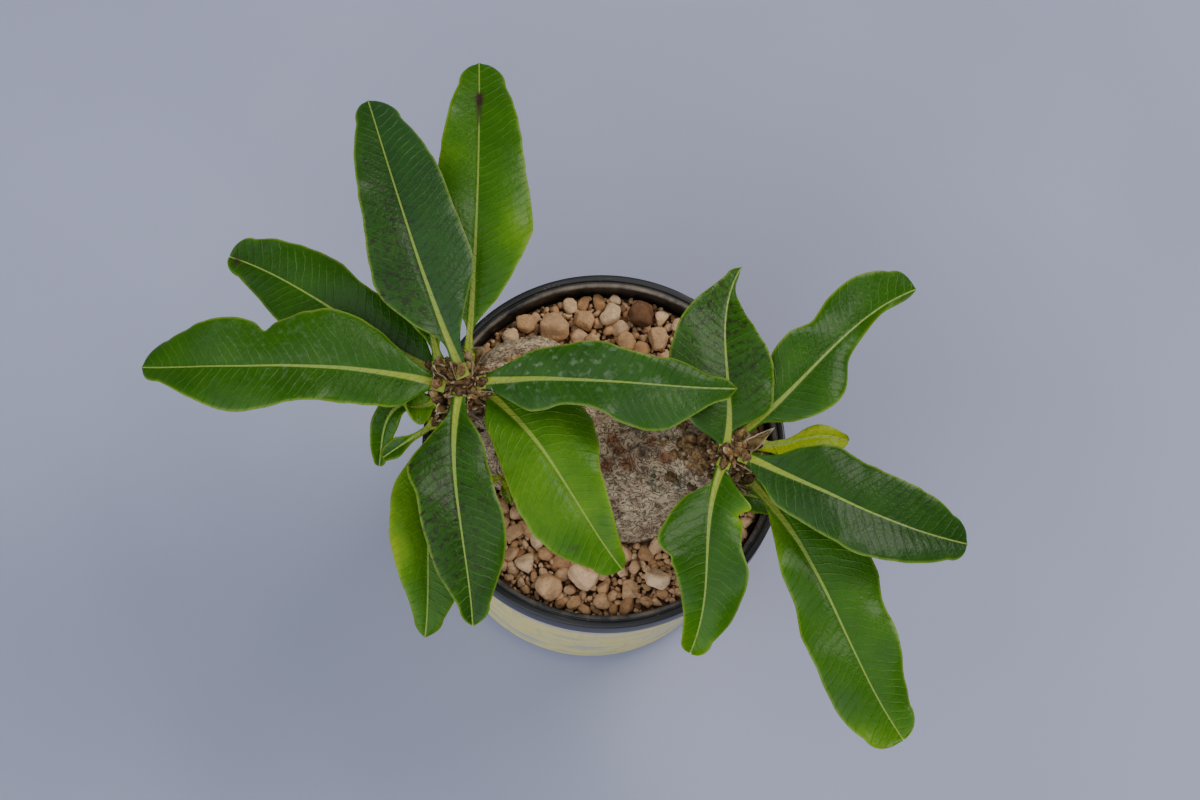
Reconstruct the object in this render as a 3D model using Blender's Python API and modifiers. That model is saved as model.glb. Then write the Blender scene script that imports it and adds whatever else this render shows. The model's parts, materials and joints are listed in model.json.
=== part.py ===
"""A potted pachypodium: a squat caudex with two leafy crowns, set in stones in a round plastic pot.

The origin is the centre of the pot's base, with +Z up and +X towards the right-hand crown.
Sizes below are in millimetres; the meshes are built in metres.
"""
import math
import random

import bmesh
import bpy
from mathutils import Matrix, Vector, noise

MM = 0.001
GAP = 0.3                      # clearance between two pieces that touch

# Pot
POT_HEIGHT = 76.0
RIM_DIAMETER = 90.0
BASE_DIAMETER = 76.0
POT_WALL = 1.3
POT_FLOOR = 2.0
LIP_HEIGHT = 7.0
LIP_OVERHANG = 2.0             # how far the lip stands out from the wall below it
LIP_ROUNDING = 0.6
BASE_CHAMFER = 1.0
DRAIN_HOLES = 8
DRAIN_HOLE_DIAMETER = 3.6
DRAIN_CIRCLE_DIAMETER = 48.0
POT_STEPS = 56

# Printed sleeve round the pot wall
SLEEVE_THICKNESS = 0.3
SLEEVE_TOP_MARGIN = 2.0        # below the lip
SLEEVE_BOTTOM_MARGIN = 3.0     # above the base
SLEEVE_SEAM_GAP = 1.5          # opening at the back, where its ends meet

# Soil and the bed of small grit on top of it
HEADSPACE = 6.0                # from the grit up to the rim
BED_DEPTH = 5.0
BED_DIP = 0.6                  # the small grit lies this far below the larger stones' feet
BED_SLOPE = 1.0                # fall of its surface towards the wall

# Plant and stones: the tables below are for a pot of this rim, and grow or shrink with the rim.
DRAWN_FOR_RIM = 90.0

# Caudex
CAUDEX_FACET = 3.2             # edge length of its mesh
ROOT_DEPTH = 20.0              # how far the swollen stem goes below the grit

# Leaves and bracts
LEAF_THICKNESS = 0.8
BRACT_THICKNESS = 0.6
PETIOLE_WIDTH = 3.4
PETIOLE_THICKNESS = 1.7
TIP_HALF_WIDTH = 0.35
LEAF_ROWS = 14
LEAF_COLUMNS = 5
ROW_CROWDING = 1.3             # above 1, the rows of a leaf's mesh crowd towards its tip

GROWTH = RIM_DIAMETER / DRAWN_FOR_RIM
GRIT_TOP = POT_HEIGHT - HEADSPACE
RIM_RADIUS = RIM_DIAMETER / 2
BASE_RADIUS = BASE_DIAMETER / 2
WALL_TOP_RADIUS = RIM_RADIUS - LIP_OVERHANG
WALL_TOP = POT_HEIGHT - LIP_HEIGHT

# Swollen stem: (x, y, height above the grit, radius), from the root to the two crowns.
STEM_LUMPS = (
    (0, 0, -12, 13),
    (3, -4, -2, 19),
    (12, -2, 4, 13),
    (-12, 8, -1, 17),
    (-20, 17, 5, 11),
    (-23, 1, 0, 10),
    (-26, 10, 14, 9),
)
LEFT_ARM = (
    (-30, 9, 21, 7),
    (-34.5, 8, 31, 6),
)
RIGHT_ARM = (
    (19, -4, 12, 9),
    (25, -7, 20, 7),
    (29, -8, 28, 5.5),
)

# Middle of each crown: x, y and height above the grit.
CROWNS = {"left": (-35, 8, 36), "right": (29, -8, 33)}

# Each leaf's midrib is a cubic curve of four points (x, y, z from the crown's middle). The half
# widths to the left and right of the midrib are given at these fractions of its length.
STATIONS = (0.1, 0.2, 0.32, 0.44, 0.56, 0.68, 0.8, 0.92)
LEAVES = (
    {"name": "leaf_left_east", "crown": "left",
     "midrib": ((5, 0, 2), (24, 0, 11), (44, -4, 12), (64, -3, 7)),
     "left": (4, 7, 8.5, 9.5, 7.5, 6.5, 6.5, 4), "right": (5, 8, 6.5, 7, 10, 11, 9, 5),
     "fold": 8, "roll": (0, 4), "ripple": (1.2, 2.0)},
    {"name": "leaf_left_southeast", "crown": "left",
     "midrib": ((6, -2, -2), (20, -14, 4), (26, -32, 5), (37, -44, -3)),
     "left": (5, 12, 14.5, 12.5, 9, 7, 5, 3), "right": (6.5, 8.5, 10.5, 12, 13, 12.5, 10, 5.5),
     "fold": 6, "roll": (-4, 6), "ripple": (1.0, 1.5)},
    {"name": "leaf_left_south", "crown": "left",
     "midrib": ((-1, -3, 2), (-5, -22, 7), (1, -40, 6), (2, -57, -3)),
     "left": (3, 6.5, 8, 9, 10, 10, 8, 5), "right": (2, 6, 11, 9.5, 9, 8, 6.5, 3.5),
     "fold": 8, "roll": (0, -6), "ripple": (0.9, 2.0)},
    {"name": "leaf_left_southwest", "crown": "left",
     "midrib": ((-4, -8, -4), (-11, -26, 0), (-7, -43, 0), (-9, -59, -8)),
     "left": (2, 6, 8, 9, 9.5, 9, 7.5, 4.5), "right": (2, 5.5, 8.5, 9, 9, 7.5, 5.5, 3.5),
     "fold": 6, "roll": (-6, -4), "ripple": (0.8, 1.5)},
    {"name": "leaf_left_west", "crown": "left",
     "midrib": ((-7, 0, 1), (-31, 5, 7), (-54, 2, 6), (-76, 5, -3)),
     "left": (7.5, 8.5, 8.5, 9, 10.5, 11, 8.5, 4), "right": (5, 10.5, 14, 13.5, 11, 12, 10.5, 7),
     "fold": 8, "roll": (0, 5), "ripple": (1.3, 2.5)},
    {"name": "leaf_left_northwest", "crown": "left",
     "midrib": ((-7, 4, -3), (-25, 13, 1), (-39, 26, 0), (-56, 34, -8)),
     "left": (3, 7, 9, 10, 10, 9, 6.5, 4), "right": (6, 8.5, 9, 9, 10.5, 10.5, 9, 6),
     "fold": 6, "roll": (0, -5), "ripple": (1.0, 2.0)},
    {"name": "leaf_left_north", "crown": "left",
     "midrib": ((-1, 3, 4), (-10, 23, 11), (-16, 45, 10), (-23, 71, 1)),
     "left": (1.5, 7, 11.5, 11.5, 10, 9, 7.5, 4.5), "right": (3, 7, 12, 12.5, 12, 11.5, 10, 6.5),
     "fold": 9, "roll": (0, 4), "ripple": (1.0, 1.5)},
    {"name": "leaf_left_northeast", "crown": "left",
     "midrib": ((1, 7, 0), (3, 30, 4), (4, 54, 4), (4, 83, -4)),
     "left": (1, 6, 9.5, 11, 10.5, 9.5, 8, 5), "right": (1, 6, 10.5, 13.5, 12.5, 11, 9.5, 6.5),
     "fold": 7, "roll": (0, -4), "ripple": (1.2, 2.5)},
    {"name": "leaf_left_hanging", "crown": "left",
     "midrib": ((-8, -2, -8), (-20, -1, -5), (-19, -11, -8), (-20, -16, -14)),
     "left": (1, 2, 2.5, 3, 3, 2.5, 2.5, 1.5), "right": (2, 3, 3.5, 3.5, 3.5, 3, 2.5, 1.5),
     "fold": 14, "roll": (0, 0), "ripple": (0.4, 1.0)},
    {"name": "leaf_left_cupped", "crown": "left",
     "midrib": ((-6.5, -3, -3.4), (-9, -4, -6), (-13, -4.5, -6), (-14, -4.5, -2)),
     "left": (1.5, 2.5, 3, 3.2, 3.2, 3, 2.6, 1.8), "right": (1.5, 2.5, 3.2, 3.5, 3.5, 3.2, 2.8, 2),
     "fold": 14, "roll": (0, 0), "ripple": (0.2, 1.0)},
    {"name": "leaf_left_curled", "crown": "left",
     "midrib": ((-7, -8, -6), (-11, -11, -6), (-15, -13, -7), (-19, -15, -11)),
     "left": (1, 1, 1.5, 2, 2.5, 2.5, 2, 1.5), "right": (1, 1, 1.5, 2, 2.5, 2.5, 2, 1.5),
     "fold": 20, "roll": (0, 0), "ripple": (0.5, 2.0)},
    {"name": "leaf_left_hidden", "crown": "left",
     "midrib": ((-6, 6, -1), (-8, 15, 2), (-10, 24, 3), (-14, 35, 2)),
     "left": (1, 2, 4, 5, 5, 4.5, 3.5, 2), "right": (1, 2, 4, 5, 5, 4.5, 3.5, 2),
     "fold": 4, "roll": (0, 0), "ripple": (0.3, 1.0)},
    {"name": "leaf_right_north", "crown": "right",
     "midrib": ((-2, 1, 2), (1, 14, 6), (-6, 31, 6), (3, 46, 1)),
     "left": (8, 11, 13.5, 14, 13, 10.5, 6.5, 3), "right": (1.5, 9.5, 11, 11, 9, 6, 3, 1),
     "fold": 10, "roll": (0, 8), "ripple": (1.2, 1.5)},
    {"name": "leaf_right_northeast", "crown": "right",
     "midrib": ((2, 5, 0), (17, 15, 3), (27, 33, 3), (46, 42, -4)),
     "left": (3, 6, 9, 10, 8, 9.5, 9.5, 6.5), "right": (1.5, 6, 9.5, 9.5, 5, 3, 1.5, 1.5),
     "fold": 8, "roll": (0, 10), "ripple": (1.4, 2.5)},
    {"name": "leaf_right_east", "crown": "right",
     "midrib": ((7, 3, -4), (14, 2, -3), (20, 7, -2), (28, 4, -5)),
     "left": (1, 1, 1, 1.5, 2.5, 3, 2.5, 1.5), "right": (2, 3, 4, 5, 5.5, 5.5, 4.5, 2.5),
     "fold": 10, "roll": (0, 0), "ripple": (0.5, 1.0)},
    {"name": "leaf_right_southeast", "crown": "right",
     "midrib": ((3, -2, 3), (19, -10, 8), (35, -20, 8), (55, -22, -1)),
     "left": (3, 8, 11.5, 11, 10.5, 10, 9, 6), "right": (4.5, 8, 9, 10, 11, 10, 8, 5),
     "fold": 8, "roll": (0, -4), "ripple": (0.9, 1.5)},
    {"name": "leaf_right_long", "crown": "right",
     "midrib": ((4, -6, -4), (21, -24, 0), (25, -49, -1), (39, -67, -9)),
     "left": (2, 7, 11, 13.5, 11.5, 11, 8.5, 6), "right": (1.5, 4.5, 7.5, 8, 10, 10, 10, 8),
     "fold": 6, "roll": (0, 5), "ripple": (1.4, 3.0)},
    {"name": "leaf_right_south", "crown": "right",
     "midrib": ((-3, -4, 2), (-10, -19, 7), (-5, -34, 5), (-11, -47, -4)),
     "left": (5, 9.5, 8, 8, 9.5, 9, 7.5, 4), "right": (1.5, 6.5, 10, 12, 8, 6, 4.5, 3.5),
     "fold": 12, "roll": (0, -6), "ripple": (1.6, 2.0)},
    {"name": "leaf_right_low", "crown": "right",
     "midrib": ((0, -7, -10), (4, -8, -8), (8, -9, -9), (12, -11, -11)),
     "left": (2, 3, 4, 4.5, 4.5, 4, 3, 2), "right": (2, 3, 3.5, 4, 4, 3.5, 3, 1.5),
     "fold": 6, "roll": (0, 0), "ripple": (0.3, 1.0)},
)

# Larger stones on the grit: x, y and mean diameter.
STONES = (
    (-23, 30, 4.5), (-19, 33, 5.5), (-12, 32, 8.5), (-8, 38, 4), (-4.5, 34, 5.5), (-2.5, 29, 4.5),
    (2, 35.5, 6.5), (9.6, 35.8, 7.5), (14, 29.5, 6.5), (19.5, 33, 4.5), (6, 28.5, 6), (-14, -34, 7.5),
    (-5.5, -31.5, 8.5), (-8, -37.8, 3.8), (-1, -37.5, 4.5), (12.5, -32.2, 6.5), (10, -37.6, 3.6),
    (6, -34.5, 5), (-20, -28, 5), (18, -28, 4.5),
)

# Papery bracts and scales at the crowns: crown, offset from its middle, heading, tilt, length, width.
BRACTS = {
    "bract_right_pointed": ("right", (4, 1.5, 1), 32, 25, 7.5, 3.5),
    "bract_right_cupped": ("right", (6.2, -1.5, -4.6), -28, 20, 4.5, 3.6),
    "bract_right_low": ("right", (4.2, -4.4, -6.6), -40, 0, 4, 4),
    "bract_left_upper": ("left", (-5.5, 2.5, 3), 160, 35, 4, 3.5),
    "bract_left_lower": ("left", (-5, -6, 0), 235, 30, 5, 4),
}


def clear_scene():
    for old in list(bpy.data.objects):
        bpy.data.objects.remove(old, do_unlink=True)


def new_collection(name):
    collection = bpy.data.collections.new(name)
    bpy.context.scene.collection.children.link(collection)
    return collection


def material(name, color, roughness, metallic=0.0):
    mat = bpy.data.materials.new(name)
    mat.use_nodes = True
    shader = mat.node_tree.nodes["Principled BSDF"]
    shader.inputs["Base Color"].default_value = (*color, 1.0)
    shader.inputs["Roughness"].default_value = roughness
    shader.inputs["Metallic"].default_value = metallic
    mat.diffuse_color = (*color, 1.0)
    return mat


def add_object(name, mesh, collection, mat=None, sharp_angle=40):
    obj = bpy.data.objects.new(name, mesh)
    collection.objects.link(obj)
    if mat:
        mesh.materials.append(mat)
    mesh.shade_smooth()
    mesh.set_sharp_from_angle(angle=math.radians(sharp_angle))
    return obj


def bmesh_to_mesh(bm, name):
    mesh = bpy.data.meshes.new(name)
    bm.to_mesh(mesh)
    bm.free()
    return mesh


def turned(name, profile, collection, mat):
    """Turn a (radius, z) profile round +Z. It runs down the outer side, then up the inner one."""
    points = [(radius * MM, 0, z * MM) for radius, z in profile]
    edges = [(i, i + 1) for i in range(len(points) - 1)]
    if profile[0][0] > 0 and profile[-1][0] > 0:
        edges.append((len(points) - 1, 0))
    mesh = bpy.data.meshes.new(name)
    mesh.from_pydata(points, edges, [])
    obj = add_object(name, mesh, collection, mat)
    screw = obj.modifiers.new("turn", "SCREW")
    screw.axis = "Z"
    screw.steps = POT_STEPS
    screw.render_steps = POT_STEPS
    screw.use_merge_vertices = True
    screw.merge_threshold = 0.05 * MM
    screw.use_smooth_shade = True
    return obj


def cut(obj, cutter):
    boolean = obj.modifiers.new("cut " + cutter.name, "BOOLEAN")
    boolean.operation = "DIFFERENCE"
    boolean.solver = "EXACT"
    boolean.object = cutter


def make_cutter(obj):
    obj.hide_render = True
    obj.display_type = "WIRE"
    return obj


def evaluated_mesh(obj):
    depsgraph = bpy.context.evaluated_depsgraph_get()
    return bpy.data.meshes.new_from_object(obj.evaluated_get(depsgraph))


def wall_radius(z):
    """Outer radius of the pot's tapered wall at height z."""
    return BASE_RADIUS + (WALL_TOP_RADIUS - BASE_RADIUS) * z / WALL_TOP


def inner_radius(z):
    return wall_radius(z) - POT_WALL


def build_pot(parts, cutters):
    profile = (
        (RIM_RADIUS - LIP_ROUNDING, POT_HEIGHT),
        (RIM_RADIUS, POT_HEIGHT - LIP_ROUNDING),
        (RIM_RADIUS, WALL_TOP + LIP_ROUNDING),
        (RIM_RADIUS - LIP_ROUNDING, WALL_TOP),
        (WALL_TOP_RADIUS, WALL_TOP),
        (wall_radius(BASE_CHAMFER), BASE_CHAMFER),
        (BASE_RADIUS - BASE_CHAMFER, 0),
        (0, 0),
        (0, POT_FLOOR),
        (inner_radius(POT_FLOOR), POT_FLOOR),
        (inner_radius(WALL_TOP), WALL_TOP),
        (inner_radius(WALL_TOP), POT_HEIGHT - LIP_ROUNDING),
        (inner_radius(WALL_TOP) + LIP_ROUNDING, POT_HEIGHT),
    )
    pot = turned("pot", profile, parts, material("black plastic", (0.012, 0.013, 0.014), 0.35))
    drill = bmesh.new()
    for i in range(DRAIN_HOLES):
        angle = math.tau * i / DRAIN_HOLES
        centre = Vector((math.cos(angle), math.sin(angle), 0)) * DRAIN_CIRCLE_DIAMETER / 2
        bmesh.ops.create_cone(
            drill, cap_ends=True, segments=12, radius1=DRAIN_HOLE_DIAMETER / 2 * MM,
            radius2=DRAIN_HOLE_DIAMETER / 2 * MM, depth=3 * POT_FLOOR * MM,
            matrix=Matrix.Translation(centre * MM))
    cut(pot, make_cutter(add_object("drain_hole_drill", bmesh_to_mesh(drill, "drill"), cutters)))


def build_sleeve(parts):
    low = SLEEVE_BOTTOM_MARGIN
    high = WALL_TOP - SLEEVE_TOP_MARGIN
    inner_low = wall_radius(low) + GAP
    inner_high = wall_radius(high) + GAP
    profile = (
        (inner_high + SLEEVE_THICKNESS, high),
        (inner_low + SLEEVE_THICKNESS, low),
        (inner_low, low),
        (inner_high, high),
    )
    seam = math.degrees(SLEEVE_SEAM_GAP / wall_radius(high))
    mesh = bpy.data.meshes.new("sleeve")
    points = [(radius * MM, 0, z * MM) for radius, z in profile]
    mesh.from_pydata(points, [], [tuple(range(len(points)))])
    sleeve = add_object("label_sleeve", mesh, parts, material("pale yellow film", (0.58, 0.55, 0.26), 0.5))
    bm = bmesh.new()
    bm.from_mesh(mesh)
    bmesh.ops.spin(
        bm, geom=bm.faces[:] + bm.verts[:] + bm.edges[:], axis=(0, 0, 1), cent=(0, 0, 0), steps=POT_STEPS,
        angle=math.radians(360 - seam))
    bmesh.ops.recalc_face_normals(bm, faces=bm.faces)
    bm.to_mesh(mesh)
    bm.free()
    sleeve.rotation_euler.z = math.radians(90 + seam / 2)


def build_caudex(parts, cutters):
    """A swollen stem of merged lumps with two arms, and an enlarged copy to clear the grit and soil."""
    balls = bpy.data.metaballs.new("caudex lumps")
    balls.resolution = CAUDEX_FACET * GROWTH * MM
    balls.render_resolution = CAUDEX_FACET * GROWTH * MM
    balls.threshold = 0.6
    visible_share = 0.575      # drawn radius of a lone ball, as a share of its field's radius
    for x, y, height, radius in STEM_LUMPS + LEFT_ARM + RIGHT_ARM:
        ball = balls.elements.new(type="BALL")
        ball.co = (Vector((x, y, height)) * GROWTH + Vector((0, 0, GRIT_TOP))) * MM
        ball.radius = radius * GROWTH * MM / visible_share
    lumps = bpy.data.objects.new("caudex lumps", balls)
    parts.objects.link(lumps)
    mesh = evaluated_mesh(lumps)
    bpy.data.objects.remove(lumps, do_unlink=True)
    bm = bmesh.new()
    bm.from_mesh(mesh)
    bmesh.ops.remove_doubles(bm, verts=bm.verts, dist=0.2 * MM)
    bmesh.ops.triangulate(bm, faces=bm.faces)
    root_end = (GRIT_TOP - ROOT_DEPTH) * MM
    geometry = bm.verts[:] + bm.edges[:] + bm.faces[:]
    sliced = bmesh.ops.bisect_plane(
        bm, geom=geometry, plane_co=(0, 0, root_end), plane_no=(0, 0, -1), clear_outer=True)
    rim = [item for item in sliced["geom_cut"] if isinstance(item, bmesh.types.BMEdge)]
    if rim:
        bmesh.ops.contextual_create(bm, geom=rim)
    bm.to_mesh(mesh)
    bm.free()
    bark = material("grey bark", (0.33, 0.26, 0.21), 0.85)
    caudex = add_object("caudex", mesh, parts, bark, sharp_angle=80)
    clearance = caudex.copy()
    clearance.data = mesh.copy()
    clearance.name = "caudex_clearance"
    cutters.objects.link(clearance)
    normals = [vertex.normal.copy() for vertex in clearance.data.vertices]
    for vertex, normal in zip(clearance.data.vertices, normals):
        vertex.co += normal * (GAP + 0.1) * MM
    return make_cutter(clearance)


def build_fill(parts, clearance):
    """Soil below and grit above, both fitting the pot's inside and the caudex."""
    crest = GRIT_TOP - BED_DIP
    shoulder = crest - BED_SLOPE
    bed_bottom = GRIT_TOP - BED_DEPTH
    soil_top = bed_bottom - GAP
    soil_bottom = POT_FLOOR + GAP
    soil_profile = (
        (0, soil_top),
        (inner_radius(soil_top) - GAP, soil_top),
        (inner_radius(soil_bottom) - GAP, soil_bottom),
        (0, soil_bottom),
    )
    bed_profile = (
        (0, crest),
        (inner_radius(shoulder) * 0.6, crest),
        (inner_radius(shoulder) - GAP, shoulder),
        (inner_radius(bed_bottom) - GAP, bed_bottom),
        (0, bed_bottom),
    )
    soil = turned("soil", soil_profile, parts, material("potting soil", (0.12, 0.085, 0.06), 0.95))
    bed = turned("grit_bed", bed_profile, parts, material("fine grit", (0.32, 0.2, 0.12), 0.9))
    cut(soil, clearance)
    cut(bed, clearance)


def build_stones(parts):
    """Larger stones resting on the grit, each a squashed and chipped ball."""
    tones = [
        material("tan stone", (0.55, 0.35, 0.2), 0.85),
        material("pale stone", (0.62, 0.45, 0.32), 0.85),
        material("orange stone", (0.42, 0.22, 0.11), 0.85),
    ]
    rng = random.Random(7)
    for number, (x, y, drawn_diameter) in enumerate(STONES, 1):
        diameter = drawn_diameter * GROWTH
        bm = bmesh.new()
        bmesh.ops.create_icosphere(bm, subdivisions=2, radius=diameter / 2 * MM)
        seed = Vector((number * 3.1, number * 1.7, 0))
        for vertex in bm.verts:
            lump = noise.noise(vertex.co / (diameter * MM) * 2.4 + seed)
            vertex.co *= 1 + 0.12 * lump
        long_side = rng.uniform(0.95, 1.05)
        short_side = rng.uniform(0.8, 0.95)
        height = rng.uniform(0.65, 0.8)
        flatten = Matrix.Diagonal((long_side, short_side, height, 1))
        turn = Matrix.Rotation(rng.uniform(0, math.tau), 4, "Z")
        bmesh.ops.transform(bm, matrix=turn @ flatten, verts=bm.verts)
        lowest = min(vertex.co.z for vertex in bm.verts)
        rest = (GRIT_TOP + GAP) * MM - lowest
        stone = add_object(f"stone_{number:02d}", bmesh_to_mesh(bm, "stone"), parts, tones[number % 3], 60)
        stone.location = (x * GROWTH * MM, y * GROWTH * MM, rest)


def crown_middle(crown):
    return Vector(CROWNS[crown]) * GROWTH + Vector((0, 0, GRIT_TOP))


def cubic(points, t):
    """Point and direction on a cubic curve."""
    a, b, c, d = points
    s = 1 - t
    place = a * s**3 + b * (3 * s * s * t) + c * (3 * s * t * t) + d * t**3
    heading = (b - a) * (3 * s * s) + (c - b) * (6 * s * t) + (d - c) * (3 * t * t)
    return place, heading.normalized()


def half_width(widths, t):
    """Smooth curve through the half widths at STATIONS, closing to a narrow base and tip."""
    stops = (0.0,) + STATIONS + (1.0,)
    values = (PETIOLE_WIDTH / 2,) + tuple(widths) + (TIP_HALF_WIDTH,)
    for i in range(len(stops) - 1):
        if t <= stops[i + 1]:
            break
    share = (t - stops[i]) / (stops[i + 1] - stops[i])
    if i == len(STATIONS):     # the rounded end past the last station
        return max(values[i] * math.sqrt(1 - share * share), TIP_HALF_WIDTH)
    before = values[max(i - 1, 0)]
    after = values[min(i + 2, len(values) - 1)]
    low, high = values[i], values[i + 1]
    rising = (2 * low - high - before) * (1 - share)
    falling = (2 * high - low - after) * share
    bend = 0.5 * share * (1 - share) * (rising + falling)
    return max(low + (high - low) * share + bend, TIP_HALF_WIDTH)


def leaf_point(leaf, curve, t, s):
    """Point of the blade. t runs from the crown to the tip, s from the left edge (-1) to the right."""
    place, heading = cubic(curve, t)
    side = heading.cross(Vector((0, 0, 1))).normalized()
    roll_base, roll_tip = leaf["roll"]
    side.rotate(Matrix.Rotation(math.radians(roll_base + (roll_tip - roll_base) * t), 3, heading))
    up = side.cross(heading)
    widths = leaf["left"] if s < 0 else leaf["right"]
    reach = abs(s) * half_width(widths, t)
    height, waves = leaf["ripple"]
    fade = min(1.0, 3 * t)
    lift = reach * math.sin(math.radians(leaf["fold"]))
    lift += fade * height * s * s * math.sin(math.tau * waves * t + (0.8 if s < 0 else 2.3))
    lift -= 0.02 * reach * reach
    return place + (side * math.copysign(reach, s) + up * lift) * GROWTH


def build_leaf(leaf, parts, mat):
    middle = crown_middle(leaf["crown"])
    curve = [middle + Vector(point) * GROWTH for point in leaf["midrib"]]
    bm = bmesh.new()
    bmesh.ops.create_grid(bm, x_segments=LEAF_COLUMNS - 1, y_segments=LEAF_ROWS - 1, size=1.0)
    shares = {}
    for vertex in bm.verts:
        t = 1 - (1 - (vertex.co.y + 1) / 2) ** ROW_CROWDING
        shares[vertex.index] = t
        vertex.co = leaf_point(leaf, curve, t, vertex.co.x) * MM
    obj = add_object(leaf["name"], bmesh_to_mesh(bm, leaf["name"]), parts, mat, 60)
    group = obj.vertex_groups.new(name="thickness")
    for index, t in shares.items():
        group.add([index], max(0.0, 1 - t / 0.14), "REPLACE")
    solid = obj.modifiers.new("thickness", "SOLIDIFY")
    solid.thickness = PETIOLE_THICKNESS * GROWTH * MM
    solid.offset = 0.0
    solid.vertex_group = group.name
    solid.thickness_vertex_group = LEAF_THICKNESS / PETIOLE_THICKNESS


def build_bract(name, parts, mat):
    """A small cupped scale: a shallow curved patch with thickness."""
    crown, offset, heading, tilt, length, width = BRACTS[name]
    bm = bmesh.new()
    bmesh.ops.create_grid(bm, x_segments=4, y_segments=4, size=1.0)
    for vertex in bm.verts:
        along = (vertex.co.y + 1) / 2
        across = vertex.co.x * width / 2 * (1 - 0.85 * along**2)
        cup = 0.9 * vertex.co.x**2 + 1.2 * along**2
        vertex.co = Vector((along * length, across, cup)) * GROWTH * MM
    obj = add_object(name, bmesh_to_mesh(bm, name), parts, mat, 60)
    obj.location = (crown_middle(crown) + Vector(offset) * GROWTH) * MM
    obj.rotation_euler = (0, -math.radians(tilt), math.radians(heading))
    solid = obj.modifiers.new("thickness", "SOLIDIFY")
    solid.thickness = BRACT_THICKNESS * GROWTH * MM
    solid.offset = 0.0


def main():
    clear_scene()
    parts = new_collection("potted_pachypodium")
    cutters = new_collection("cutters")
    build_pot(parts, cutters)
    build_sleeve(parts)
    clearance = build_caudex(parts, cutters)
    build_fill(parts, clearance)
    build_stones(parts)
    green = material("green leaf", (0.03, 0.12, 0.015), 0.35)
    for leaf in LEAVES:
        build_leaf(leaf, parts, green)
    papery = material("papery bract", (0.3, 0.2, 0.1), 0.8)
    for name in BRACTS:
        build_bract(name, parts, papery)


main()
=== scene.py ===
"""The look of a potted pachypodium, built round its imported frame.

A squat grey stem with two leafy crowns stands in tan stones, in a round black nursery pot with a
pale printed sleeve. Sizes in the tables below are in millimetres; Blender's own units are metres.
"""

import json
import math
import random
from collections import namedtuple
from functools import partial

import bmesh
import bpy
from mathutils import Matrix, Vector, noise
from mathutils.bvhtree import BVHTree


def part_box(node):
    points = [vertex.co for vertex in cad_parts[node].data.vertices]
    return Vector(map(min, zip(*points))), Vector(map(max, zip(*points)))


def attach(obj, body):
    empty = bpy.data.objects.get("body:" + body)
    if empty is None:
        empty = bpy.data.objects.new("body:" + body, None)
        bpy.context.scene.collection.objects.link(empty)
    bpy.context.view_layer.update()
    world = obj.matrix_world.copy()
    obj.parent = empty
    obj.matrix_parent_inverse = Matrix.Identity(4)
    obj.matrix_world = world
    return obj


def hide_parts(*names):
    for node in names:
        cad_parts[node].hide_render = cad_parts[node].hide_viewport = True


MM = 0.001
MIX_SHARE, MIX_FROM, MIX_TO, MIXED = 0, 6, 7, 2      # colour sockets of a Mix node
GOLDEN_ANGLE = math.radians(137.5)

noise.seed_set(5)              # noise vectors otherwise start from the clock, and change each run

PETIOLE_WIDTH = 3.4
PETIOLE_THICKNESS = 1.7
BLADE_THICKNESS = 0.6
TIP_HALF_WIDTH = 0.35
STATIONS = (0.1, 0.2, 0.32, 0.44, 0.56, 0.68, 0.8, 0.92)

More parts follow.
